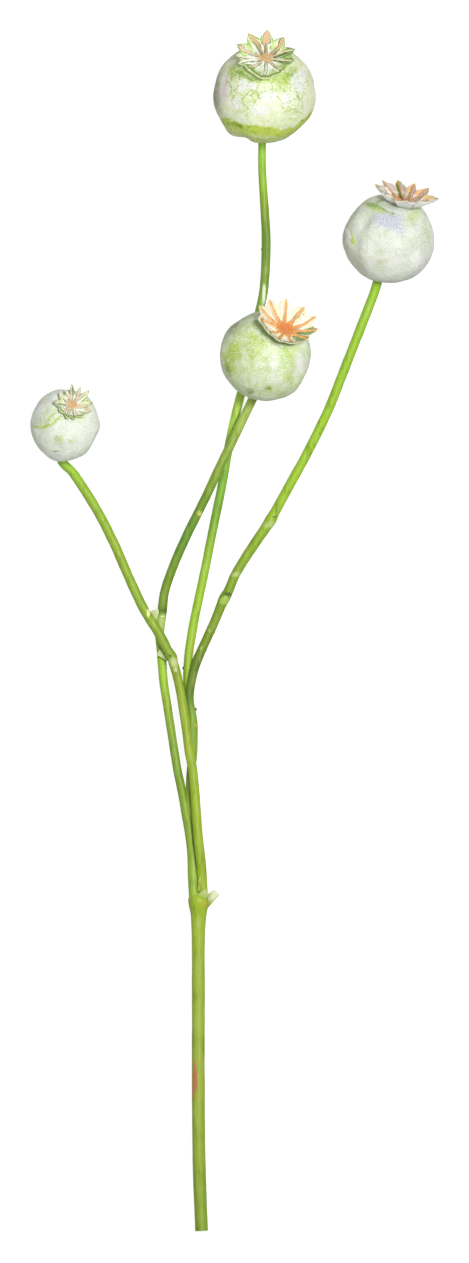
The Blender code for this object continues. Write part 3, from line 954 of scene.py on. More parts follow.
@dataclass(frozen=True)
class Globe:
    """One waxy capsule."""

    name: str
    place: Pair
    radius: float
    lift: float
    foot: Pair  # heading and rise of the line from the stem's end through the centre
    crown: Crown
    facets: tuple[Facet, ...]
    dents: tuple[Dent, ...]
    marks: tuple[Mark, ...]
    finish: WaxFinish
    seed: int
    tide: tuple[Pair, ...] = ()  # line below which the wax has worn off, seen from above
    seat_rise: float = 0.0  # how far the crown's flat lies above its seat

    SIDES = 216
    RINGS = 132
    RIB_HEIGHT = 0.011  # as a share of the radius
    BASE_LENGTH = 0.95  # the half towards the stem, as a share of the radius
    BASE_SEAT = 0.975  # where its flat lies, as a share of that
    SOFT_EDGE = 22.0  # how hard the edge of a pressed side is
    CRISP_EDGE = 60.0  # how hard the edge of a seat is
    BEND = (30.0, 150.0)  # degrees from the crown between which the axis turns to the stem
    SWELL = 0.34  # height of the skin's slow waves
    SWELL_SIZE = 5.5
    PUCKER = 0.1  # height of its short waves
    NO_TIDE = -99.0  # a line below every globe

    def centre(self) -> Vector:
        """Middle of the globe."""
        return Vector((*self.place, self.radius + self.lift))

    def foot_way(self) -> Vector:
        """From the centre towards the stem."""
        return -aim(*self.foot)

    def ribs(self) -> list[float]:
        """Strength of each rib."""
        draw = random.Random(self.seed)
        return [draw.uniform(0.5, 1.0) for _ in self.crown.lobes]

    def flats(self) -> list[tuple[Vector, float, float]]:
        """Direction, reach and edge hardness of every flat side."""
        pressed = [(aim(f.heading, f.rise), f.reach * self.radius, self.SOFT_EDGE) for f in self.facets]
        return [*pressed, (self.crown.axis(), self.crown.seat() + self.seat_rise, self.CRISP_EDGE),
                (self.foot_way(), self.base(), self.CRISP_EDGE)]

    def base(self) -> float:
        """How far from the centre the flat on the stem's end lies."""
        return self.BASE_LENGTH * self.BASE_SEAT * self.radius

    def build(self, recipe: Recipe) -> bpy.types.Object:
        """Makes the globe.

        Args:
            recipe: Adds the fine relief.

        Returns:
            The finished piece.
        """
        lean = self.crown.axis()
        bend = lean.rotation_difference(-self.foot_way())
        side = lean.orthogonal().normalized()
        centre = self.centre()
        ribs, flats = self.ribs(), self.flats()
        lobes = len(self.crown.lobes)
        dents = [(aim(d.heading, d.rise), math.radians(d.spread), d.depth) for d in self.dents]
        seat = self.crown.seat()
        points: list[Vector] = []
        names = [tint.value for tint in Tint] + ["tide", "loose"]
        carried: dict[str, list[float]] = {name: [] for name in names}

        def add(polar: float, angle: float) -> None:
            """Adds a corner, with what it carries.

            Args:
                polar: Its angle from the crown's axis.
                angle: Its angle round that axis.
            """
            leaning = soft_step(math.degrees(polar), *self.BEND)
            way = Quaternion(lean, angle) @ (math.sin(polar) * side) + math.cos(polar) * lean
            way = Quaternion().slerp(bend, leaning) @ way
            below = min(0.0, math.cos(polar))
            radius = self.radius * (1 - (1 - self.BASE_LENGTH) * below * below)
            turn = angle / math.tau * lobes
            rib = ribs[int(turn + 0.5) % lobes] * math.cos(math.tau * turn)
            radius *= 1 + self.RIB_HEIGHT * rib * math.sin(polar) ** 2
            for toward, spread, depth in dents:
                radius -= depth * math.exp(-(toward.angle(way) / spread) ** 2)
            for normal, reach, hardness in flats:
                facing = normal.dot(way)
                if facing > 0.2:
                    radius = soft_min(radius, reach / facing, hardness)
            spot = centre + way * radius
            spot.z = max(0.0, spot.z)
            self.note(carried, spot, spot - centre, seat)
            points.append(spot)

        add(0.0, 0.0)
        for ring in range(1, self.RINGS + 1):
            for k in range(self.SIDES):
                add(math.pi * ring / (self.RINGS + 1), math.tau * k / self.SIDES)
        add(math.pi, 0.0)
        faces = closed_faces(self.RINGS, self.SIDES)
        host = new_piece("globe_" + self.name, points, faces, carried)
        values = {"Finish": self.finish.material(), "Height": self.SWELL * MM,
                  "Size": self.SWELL_SIZE * MM, "Pucker": self.PUCKER * MM, "Seed": self.seed}
        piece = recipe.run(host, values)
        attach(piece, "root")
        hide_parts("capsule_" + self.name)
        return piece

    def note(self, carried: dict[str, list[float]], spot: Vector, arm: Vector, seat: float) -> None:
        """Writes down what the finish reads at a corner.

        Args:
            carried: The lists to add to.
            spot: The corner.
            arm: The corner seen from the globe's centre.
            seat: How far from the centre the crown's flat lies.
        """
        up = soft_step(arm.z, -2.0, 4.0)
        for tint in Tint:
            total = sum(m.share(arm.x, arm.y) for m in self.marks if m.tint is tint)
            carried[tint.value].append(min(1.0, total) * up)
        line = between(self.tide, arm.x) if self.tide else self.NO_TIDE
        carried["tide"].append(line - arm.y)
        high = arm.dot(self.crown.axis())
        loose = soft_step(seat - high, 0.3, 2.5) * soft_step(spot.z, 0.2, 2.0)
        low = arm.dot(self.foot_way()) / self.base()
        carried["loose"].append(loose * (1 - soft_step(low, 0.94, 0.995)))


@dataclass(frozen=True)
class Branch:
    """One stretch of stem along a route of x, y, z and radius."""

    name: str
    route: tuple[tuple[float, float, float, float], ...]
    finish: StemFinish
    head: Globe | None = None

    SIDES = 28
    HOOK = 4.0  # length of the straight end under a capsule
    STEP = 1.2  # between points of the curve
    FINE_STEP = 0.9  # between rings of the rind
    GAP = 0.05  # between the end and its capsule
    RELIEF = 0.16

    def points(self) -> list[Sequence[float]]:
        """The route, led on to the seat under its capsule.

        Returns:
            Places and radii in millimetres.
        """
        route: list[Sequence[float]] = list(self.route)
        if self.head:
            foot = self.head.foot_way()
            end = self.head.centre() + foot * (self.head.base() + self.GAP)
            radius = self.route[-1][3]
            route += [(*(end + foot * self.HOOK), radius), (*end, radius)]
        return route

    def smooth(self) -> list[list[float]]:
        """Fine points of a smooth curve through the route.

        Returns:
            Places and radii in millimetres.
        """
        route = self.points()
        padded = [route[0], *route, route[-1]]
        fine: list[list[float]] = []
        for before, start, end, after in zip(padded, padded[1:], padded[2:], padded[3:]):
            knots = [0.0]
            for a, b in ((before, start), (start, end), (end, after)):
                span = (Vector(b[:3]) - Vector(a[:3])).length
                knots.append(knots[-1] + max(1e-3, span) ** 0.5)
            count = max(1, math.ceil((Vector(end[:3]) - Vector(start[:3])).length / self.STEP))
            for k in range(count):
                at = knots[1] + (knots[2] - knots[1]) * k / count
                nearby = zip(before, start, end, after)
                fine.append([self.curve(values, knots, at) for values in nearby])
        fine.append(list(route[-1]))
        return fine

    @staticmethod
    def curve(values: Sequence[float], knots: Sequence[float], at: float) -> float:
        """One coordinate of the smooth curve.

        Args:
            values: The coordinate at four points.
            knots: Where those points are along the curve.
            at: Where to read it.

        Returns:
            The coordinate there.
        """
        level = list(values)
        for reach in (1, 2):
            shares = [(at - knots[k]) / (knots[k + reach] - knots[k]) for k in range(len(level) - 1)]
            level = [a + (b - a) * s for a, b, s in zip(level, level[1:], shares)]
        return level[0] + (level[1] - level[0]) * (at - knots[1]) / (knots[2] - knots[1])

    def build(self, recipe: Recipe) -> bpy.types.Object:
        """Makes the branch.

        Args:
            recipe: Draws the rind along the route.

        Returns:
            The finished piece.
        """
        fine = self.smooth()
        mesh = bpy.data.meshes.new(self.name)
        edges = [(k, k + 1) for k in range(len(fine) - 1)]
        mesh.from_pydata([Vector(point[:3]) * MM for point in fine], edges, [])
        girth = mesh.attributes.new("girth", "FLOAT", "POINT")
        girth.data.foreach_set("value", [point[3] * MM for point in fine])
        host = bpy.data.objects.new(self.name, mesh)
        bpy.context.scene.collection.objects.link(host)
        values = {"Finish": self.finish.material(), "Sides": self.SIDES,
                  "Step": self.FINE_STEP * MM, "Relief": self.RELIEF * MM, "Seed": len(self.name)}
        piece = recipe.run(host, values)
        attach(piece, "root")
        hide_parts("stem")
        return piece


@dataclass(frozen=True)
class Husk:
    """What is left of a leaf base: a thin strap that runs out from a node to a square cut."""

    name: str
    start: Point
    end: Point
    wide: float  # half its width at the node
    narrow: float  # half its width at the cut
    thin: float  # half its thickness at the node
    finish: StemFinish

    SIDES = 24
    RINGS = 18
    CURL = 0.35  # how far its sides curl up at the cut
    RELIEF = 0.12

    def build(self) -> bpy.types.Object:
        """Makes the strap.

        Returns:
            The finished piece.
        """
        start, end = Vector(self.start), Vector(self.end)
        way = (end - start).normalized()
        up = (Vector((0, 0, 1)) - way * way.z).normalized()
        across = way.cross(up)
        points = [start]
        for ring in range(self.RINGS + 1):
            share = ring / self.RINGS
            width = self.wide + (self.narrow - self.wide) * soft_step(share)
            middle = start + (end - start) * share
            for k in range(self.SIDES):
                turn = math.tau * k / self.SIDES
                out = width * math.cos(turn)
                rise = self.thin / self.wide * width * math.sin(turn)
                rise += self.CURL * (out / width) ** 2 * share
                rise += self.RELIEF * ripple(middle + across * out, 1.6)
                points.append(middle + across * out + up * rise)
        points.append(end)
        faces = closed_faces(self.RINGS + 1, self.SIDES)
        piece = new_piece(self.name, points, faces, {})
        piece.data.materials.append(self.finish.material())
        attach(piece, "root")
        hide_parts("stem")
        return piece


@dataclass(frozen=True)
class Scars:
    """Small dark buds on the sides of the stems."""

    places: tuple[Point, ...]
    finish: StemFinish

    RADIUS = 0.85
    RELIEF = 0.15  # as a share of the radius
    SIDES = 16
    RINGS = 9

    def build(self) -> bpy.types.Object:
        """Makes all the buds as one piece.

        Returns:
            The finished piece.
        """
        points: list[Vector] = []
        faces: list[tuple[int, ...]] = []
        for place in self.places:
            first, middle = len(points), Vector(place)
            points.append(middle + Vector((0, self.RADIUS, 0)))
            for ring in range(1, self.RINGS + 1):
                polar = math.pi * ring / (self.RINGS + 1)
                for k in range(self.SIDES):
                    turn = math.tau * k / self.SIDES
                    way = Vector((math.sin(polar) * math.cos(turn), math.cos(polar),
                                  -math.sin(polar) * math.sin(turn)))
                    bump = 1 + self.RELIEF * ripple(middle + way, 0.8)
                    points.append(middle + way * self.RADIUS * bump)
            points.append(middle - Vector((0, self.RADIUS, 0)))
            faces += [tuple(first + corner for corner in face)
                      for face in closed_faces(self.RINGS, self.SIDES)]
        piece = new_piece("bud_scars", points, faces, {})
        piece.data.materials.append(self.finish.material())
        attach(piece, "root")
        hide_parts("stem")
        return piece


RIND_SCALE = 420.0  # swellings of the rind, a metre


def rind_recipe() -> Recipe:
    """Tree that draws a round, slightly uneven stem along a line of edges.

    Returns:
        The recipe.
    """
    recipe = Recipe("rind", {"Finish": "NodeSocketMaterial", "Sides": "NodeSocketInt",
                             "Step": "NodeSocketFloat", "Relief": "NodeSocketFloat",
                             "Seed": "NodeSocketInt"})
    bench = recipe.bench
    line = bench.add("GeometryNodeMeshToCurve", {"Mesh": recipe.given("Geometry")})
    values = {"Curve": line, "Length": recipe.given("Step")}
    line = bench.add("GeometryNodeResampleCurve", values, mode="LENGTH")
    values = {"Resolution": recipe.given("Sides"), "Radius": 1.0}
    ring = bench.add("GeometryNodeCurvePrimitiveCircle", values)
    girth = bench.add("GeometryNodeInputNamedAttribute", {"Name": "girth"}, "Attribute",
                      data_type="FLOAT")
    values = {"Curve": line, "Profile Curve": ring, "Scale": girth, "Fill Caps": True}
    rind = bench.add("GeometryNodeCurveToMesh", values)
    drawn = bench.vector("MULTIPLY", bench.add("GeometryNodeInputPosition"), (1.0, 0.25, 1.0))
    swell = recipe.noise(drawn, RIND_SCALE, 2.0)
    outward = bench.add("GeometryNodeInputNormal")
    recipe.close(rind, bench.stretch(outward, (swell - 0.5) * recipe.given("Relief") * 2))
    return recipe


def wax_recipe() -> Recipe:
    """Tree that gives a globe its uneven, slightly puckered skin.

    Returns:
        The recipe.
    """
    recipe = Recipe("wax", {"Finish": "NodeSocketMaterial", "Height": "NodeSocketFloat",
                            "Size": "NodeSocketFloat", "Pucker": "NodeSocketFloat",
                            "Seed": "NodeSocketInt"})
    bench = recipe.bench
    place = bench.add("GeometryNodeInputPosition")
    scale = bench.math("DIVIDE", 1.0, recipe.given("Size"))
    swell = recipe.noise(place, scale, 1.0)
    pucker = recipe.noise(place, scale * 3.5, 2.0)
    loose = bench.add("GeometryNodeInputNamedAttribute", {"Name": "loose"}, "Attribute",
                      data_type="FLOAT")
    push = (swell - 0.5) * recipe.given("Height") * 2 + (pucker - 0.5) * recipe.given("Pucker") * 2
    outward = bench.add("GeometryNodeInputNormal")
    recipe.close(recipe.given("Geometry"), bench.stretch(outward, push * loose))
    return recipe


GLOBE = 21.5  # radius of the largest globe

# finishes of the crowns, by the name of the head
CROWNS = {
    "top": CrownFinish("crown_top", rgb(204, 164, 100), rgb(212, 178, 118), rgb(240, 200, 154),
                       rgb(240, 248, 240), rgb(196, 220, 134), rgb(136, 178, 60),
                       rgb(186, 204, 120), rgb(214, 228, 168), shift=0.3, ray_shadow=0.7),
    "right": CrownFinish("crown_right", rgb(214, 150, 88), rgb(196, 132, 74), rgb(222, 164, 104),
                         rgb(232, 188, 142), rgb(238, 196, 148), rgb(222, 216, 150),
                         rgb(236, 236, 236), rgb(240, 238, 214), shift=1.1, ray_shadow=0.6,
                         mottle=0.35, turned=0.8, painted_highlight=0.15),
    "centre": CrownFinish("crown_centre", rgb(240, 166, 80), rgb(233, 130, 54), rgb(246, 188, 118),
                          rgb(254, 234, 208), rgb(253, 244, 216), rgb(242, 232, 176),
                          rgb(206, 216, 158), rgb(236, 240, 206), shift=2.3, ray_shadow=0.3, mottle=0.6),
    "left": CrownFinish("crown_left", rgb(222, 186, 140), rgb(220, 176, 122), rgb(222, 198, 190),
                        rgb(250, 252, 248), rgb(214, 228, 168), rgb(142, 176, 70),
                        rgb(190, 206, 140), rgb(214, 226, 160), shift=3.7, ray_shadow=0.35),
}

TOP = Globe(
    "top", (12.5, 225.1), GLOBE, lift=-0.8, foot=(3.0, 43.0),
    crown=Crown("top", (0.9, 15.4, 16.9), (4.3, 47.0), (
        Lobe((0.3, 12.0), 3.2, 1.0, 0.0, 0.06), Lobe((7.3, 9.0), 2.5, 0.6, 0.1, -0.1),
        Lobe((12.0, 3.8), 1.5, 0.0, 0.8, 0.08, 0.5), Lobe((11.6, -1.0), 0.5, 0.0, 0.9, -0.06, 0.5),
        Lobe((7.6, -5.8), -0.5, 0.0, 0.1, -0.12), Lobe((-1.9, -9.2), -0.8, 0.0, 0.0, 0.1, 0.8),
        Lobe((-8.3, -4.9), -0.3, 0.0, 0.4, 0.08, 0.3),
        Lobe((-12.2, -2.2), -0.3, 0.0, 0.3, -0.05, 1.0),
        Lobe((-13.6, 1.2), 0.3, 0.0, 0.2, 0.08, 0.9), Lobe((-12.7, 5.6), 1.5, 0.6, 0.0, 0.1, 0.3),
        Lobe((-7.8, 10.6), 3.4, 0.7, 0.0, -0.12)),
        CROWNS["top"], 103, notches=(0.71, 0.94), ray_width=0.44),
    facets=(Facet(140, 0, 0.955), Facet(178, 0, 0.965)),
    dents=(Dent(203, 0, 8, 1.5), Dent(203, 15, 8, 1.5), Dent(203, -15, 8, 1.5),
           Dent(222, 0, 9, -0.7), Dent(300, 35, 16, 0.5), Dent(95, 30, 15, 0.4)),
    tide=((-19.5, -9.6), (-16.9, -9.4), (-12.9, -10.8), (-7.1, -12.9), (-2.9, -13.2), (1.3, -13.4),
          (6.8, -14.6), (11.4, -13.9), (14.6, -11.7), (17.6, -9.2), (20.7, -5.7)),
    marks=(*tinted(Tint.GREEN, (-10.0, 8.8, 1.4, 4.5, 30, 0.7), (-4.0, 6.0, 1.0, 4.0, 20, 0.6),
                   (10.5, 8.0, 1.4, 4.5, -40, 0.55), (-11.6, -12.8, 1.0, 3.2, 22, 0.8),
                   (-4.0, -15.8, 0.9, 2.4, 15, 0.4)),
           *tinted(Tint.LIME, (4.0, 6.2, 1.6, 6.0, 0, 1.0), (10.0, 8.0, 2.4, 6.0, -40, 0.7),
                   (-9.0, 8.6, 2.4, 6.0, 30, 0.7), (-14.0, 9.0, 3.0, 2.0, 30, 0.6),
                   (-6.0, 0.0, 9.0, 7.0, 0, 0.35), (8.0, 3.0, 6.0, 3.0, 0, 0.45),
                   (14.0, -6.0, 5.0, 3.0, 20, 0.4)),
           *tinted(Tint.LILAC, (-16.9, 2.6, 6.5, 1.5, 4, 1.2)),
           *tinted(Tint.WHITE, (14.3, 4.8, 4.2, 3.0, -25), (16.0, 8.4, 1.8, 1.4),
                   (-8.9, 3.7, 3.0, 2.2, 20), (-4.6, 3.2, 1.8, 1.4), (2.0, -1.0, 2.6, 3.6),
                   (-12.0, -4.0, 2.6, 2.0), (-2.0, -7.0, 2.4, 5.0, 0, 0.8),
                   (9.5, -2.0, 3.4, 2.4, 15, 0.8)),
           # painted shade down the globe's left side
           *tinted(Tint.GREY, (-20.5, 1.0, 15.0, 2.8, 0, 0.7)),
           *tinted(Tint.CRACK, (-9.0, 3.0, 12.0, 7.0, 0, 1.0), (9.0, 4.0, 7.0, 10.0, 0, 0.9),
                   (0.0, 6.0, 5.0, 14.0, 0, 0.65), (12.0, -6.0, 7.0, 6.0, 0, 0.6))),
    finish=WaxFinish("wax_top", rgb(244, 248, 222), rgb(228, 238, 184), rgb(164, 194, 72),
                     rgb(196, 218, 64), rgb(126, 162, 30), rgb(238, 220, 228), cell=4.8, shift=0.0),
    seed=3)

RIGHT = Globe(
    "right", (64.5, 164.4), 0.90 * GLOBE, lift=-0.5, foot=(14.5, 15.0),
    crown=Crown("right", (7.3, 15.9, 6.1), (12.0, 19.0), (
        Lobe((-3.1, 9.9), 5.2, 0.2, 1.0), Lobe((4.0, 8.3), 5.1, 0.7),
        Lobe((9.9, 6.2), 4.8, 0.7, 0.3), Lobe((14.1, 1.6), 4.3, 1.0), Lobe((10.6, 0.3), 4.7, 0.5),
        Lobe((3.4, -0.3), 3.7), Lobe((-4.2, 0.3), 3.5), Lobe((-10.2, 3.7), 4.0),
        Lobe((-13.2, 7.7), 4.6, 0.5, 0.3), Lobe((-10.0, 9.6), 5.1, 1.0)),
        CROWNS["right"], 105, notches=(0.60, 0.76), fullness=0.85, body=1.2, fold=0.14,
        ray_width=0.32, fan=0.6, taper=0.2, boss_size=1.5),
    facets=(Facet(180, 0, 1.0), Facet(305, 0, 0.975), Facet(232, 15, 0.955)),
    dents=(Dent(110, 48, 13, 0.8), Dent(320, 42, 12, 0.6), Dent(195, 60, 14, 0.5),
           Dent(60, 45, 10, 0.9), Dent(300, 50, 9, 1.0), Dent(265, 45, 9, 0.5)),
    marks=(*tinted(Tint.GREEN, (-7.0, 14.2, 1.3, 3.0, 20, 0.75), (-2.0, 12.2, 0.7, 3.0, 35, 0.7),
                   (1.9, 10.6, 0.8, 1.2, 25, 0.8), (-3.6, 16.0, 3.2, 0.9, 66, 0.6)),
           *tinted(Tint.LIME, (-5.0, 12.9, 1.4, 7.0, 28, 0.9), (10.5, 9.8, 2.5, 6.5, -50, 0.55),
                   (16.0, 3.0, 6.0, 1.6, 0, 0.4), (-9.0, 9.0, 3.0, 3.0, 0, 0.4),
                   (-15.7, 0.9, 3.0, 0.9, -24, 2.4), (-9.0, 1.0, 1.0, 1.0, 0, 0.4)),
           *tinted(Tint.LILAC, (-1.0, 8.0, 3.8, 7.0, -8, 1.0), (4.0, 4.5, 4.5, 3.0, -30, 0.7)),
           *tinted(Tint.WARM, (-11.9, -7.5, 4.2, 0.7, 140, 0.6), (-2.0, -9.5, 1.6, 4.4, -8, 0.35)),
           *tinted(Tint.WHITE, (-16.9, 2.6, 2.6, 0.8, -24, 2.0), (12.0, -8.5, 5.0, 4.0, 0, 0.6)),
           # painted shade down the globe's left side
           *tinted(Tint.GREY, (-19.0, -1.0, 13.0, 2.0, 0, 0.4))),
    finish=WaxFinish("wax_right", rgb(231, 235, 223), rgb(214, 221, 200), rgb(186, 198, 146),
                     rgb(190, 206, 120), rgb(120, 158, 50), rgb(194, 198, 210), cell=7.0, shift=0.9,
                     speck=0.2),
    seed=5, seat_rise=0.8)

CENTRE = Globe(
    "centre", (13.0, 115.4), 0.90 * GLOBE, lift=4.8, foot=(17.0, 35.0),
    crown=Crown("centre", (8.6, 11.1, 14.2), (33.9, 44.0), (
        Lobe((8.1, 9.8), 5.0, 0.2, 0.5, 0.05), Lobe((13.0, 5.8), 5.2, 0.2, 0.1, -0.06),
        Lobe((13.8, 0.1), 4.5, 0.2, 1.1), Lobe((9.6, -3.9), 3.5, 0.0, 1.1), Lobe((3.1, -5.8), 3.5),
        Lobe((-3.2, -4.6), 4.0), Lobe((-8.2, -0.5), 4.3, 0.0, 0.0, 0.08),
        Lobe((-11.8, 4.7), 3.5, 0.7, 0.0, -0.08), Lobe((-11.3, 10.3), 5.0, 0.8, 0.0, 0.06),
        Lobe((-7.2, 12.9), 5.0, 0.6), Lobe((0.0, 13.3), 5.0, 0.2, 0.0, -0.06)),
        CROWNS["centre"], 111, notches=(0.75, 0.90), fullness=0.75, ray_width=0.78, fan=0.2,
        taper=0.5, boss_size=4.0),
    facets=(Facet(110, 0, 0.965), Facet(335, 10, 0.975)),
    dents=(Dent(170, 40, 13, 0.5), Dent(255, 45, 15, 0.5), Dent(120, 35, 12, 0.4)),
    marks=(*tinted(Tint.GREEN, (-16.0, -5.0, 4.5, 1.1, -20, 0.65), (-6.3, -14.9, 1.2, 1.5, 0, 1.1),
                   (1.2, -13.7, 0.8, 1.4, 0, 1.0), (-3.0, 12.0, 5.0, 2.6, -35, 0.55),
                   (4.0, 4.6, 1.1, 7.0, 25, 0.5)),
           *tinted(Tint.LIME, (-13.4, 2.6, 5.5, 2.8, 14, 1.0), (9.5, 0.0, 4.5, 2.6, 0, 0.75),
                   (9.5, -9.0, 3.5, 3.5, 0, 0.7), (-15.2, -3.6, 5.0, 2.0, -16, 1.0),
                   (-5.0, 7.5, 2.5, 6.0, 30, 0.7), (-5.0, 0.0, 7.0, 7.0, 0, 0.5),
                   (2.0, -13.5, 2.5, 7.0, 10, 0.5)),
           *tinted(Tint.WHITE, (3.5, -3.0, 5.0, 2.6, 5, 0.6), (14.5, -3.0, 5.5, 2.4, 5, 0.6),
                   (-9.0, -8.0, 3.5, 3.0, -20, 0.4), (4.5, 4.2, 1.6, 3.0, 10, 0.5)),
           # painted shade on the globe's upper left side
           *tinted(Tint.GREY, (-13.0, 13.0, 8.0, 3.0, 45, 0.6)),
           *tinted(Tint.CRACK, (-4.0, 0.0, 14.0, 14.0, 0, 0.45))),
    finish=WaxFinish("wax_centre", rgb(234, 241, 216), rgb(204, 222, 160), rgb(168, 192, 100),
                     rgb(180, 204, 90), rgb(128, 164, 30), rgb(200, 200, 206), cell=6.0, shift=2.1,
                     speck=0.25),
    seed=11)

LEFT = Globe(
    "left", (-70.8, 86.4), 0.70 * GLOBE, lift=-0.5, foot=(8.0, 34.0),
    crown=Crown("left", (2.6, 8.7, 11.6), (17.4, 51.0), (
        Lobe((-0.1, 9.5), 2.6, 0.0, 0.9, 0.05, 0.6), Lobe((3.8, 8.0), 2.2, 0.8, 0.2, -0.08, 0.4),
        Lobe((7.3, 6.6), 1.8, 0.6, 0.3, 0.08, 0.4), Lobe((8.8, 0.8), 0.8, 0.3, 0.0, -0.1, 0.2),
        Lobe((8.3, -2.6), 0.3, 0.6, 0.0, 0.08), Lobe((4.7, -5.2), 0.3, 0.0, 0.3, -0.1, 0.8),
        Lobe((1.1, -6.1), 0.3, 0.0, 0.6, 0.1, 0.8), Lobe((-2.1, -5.7), 0.3, 0.0, 0.7, -0.06, 0.4),
        Lobe((-5.0, -2.8), 0.3, 0.5, 0.2, 0.1), Lobe((-8.0, 1.2), 0.2, 0.0, 0.6, -0.08, 0.6),
        Lobe((-5.3, 5.6), 0.6, 0.5, 0.0, 0.1, 0.6), Lobe((-2.8, 7.0), 1.5, 0.5, 0.2, -0.06, 0.5)),
        CROWNS["left"], 113, notches=(0.55, 0.8), fullness=0.75, body=1.3, ray_width=0.34, fan=1.2,
        taper=0.2, boss_size=1.7),
    facets=(Facet(117, 0, 0.885), Facet(162, 0, 0.98), Facet(71, 0, 0.94)),
    dents=(Dent(205, 50, 11, 0.5), Dent(160, 50, 9, 0.35), Dent(275, 40, 16, 0.4),
           Dent(190, 0, 26, -1.2), Dent(335, 5, 26, -0.5)),
    marks=(*tinted(Tint.GREEN, (-4.2, -10.9, 0.4, 1.6, 0, 0.8), (-4.1, -5.2, 0.7, 0.4, 50, 0.9)),
           *tinted(Tint.LIME, (-11.4, -0.9, 2.2, 0.5, 100, 1.3), (-7.4, -0.2, 3.0, 0.45, 72, 1.4),
                   (-3.5, 2.6, 2.6, 0.5, 50, 1.1), (-6.3, 3.4, 3.4, 0.4, 41, 0.8),
                   (-8.8, 4.6, 6.5, 5.0, 10, 0.45), (-13.6, -5.0, 4.0, 1.5, -15, 0.4),
                   (-3.0, -6.0, 2.0, 2.4, 0, 0.7), (1.8, -6.6, 0.8, 1.2, 0, 0.7)),
           *tinted(Tint.LILAC, (-5.0, 9.5, 2.0, 3.5, 30, 0.7), (2.0, 0.0, 2.0, 4.5, 10, 0.35)),
           *tinted(Tint.WHITE, (-10.8, 6.0, 5.0, 3.0, 10, 0.6)),
           *tinted(Tint.CRACK, (-9.0, 2.0, 5.0, 5.0, 0, 0.6))),
    finish=WaxFinish("wax_left", rgb(242, 246, 238), rgb(228, 236, 216), rgb(188, 204, 124),
                     rgb(196, 210, 120), rgb(136, 166, 60), rgb(210, 212, 222), cell=5.0, shift=3.2),
    seed=13)

# colours that several stems share
LIME = rgb(158, 198, 46)
# used only for painted shade down the stalk's right side
GREEN = rgb(128, 162, 36)
GLINT = rgb(238, 248, 226)
COLLAR = rgb(190, 206, 128)
NOTCH = rgb(58, 88, 24)
AMBER = rgb(206, 182, 70)
ROSE = rgb(198, 104, 84)
STRAW = rgb(222, 226, 184)

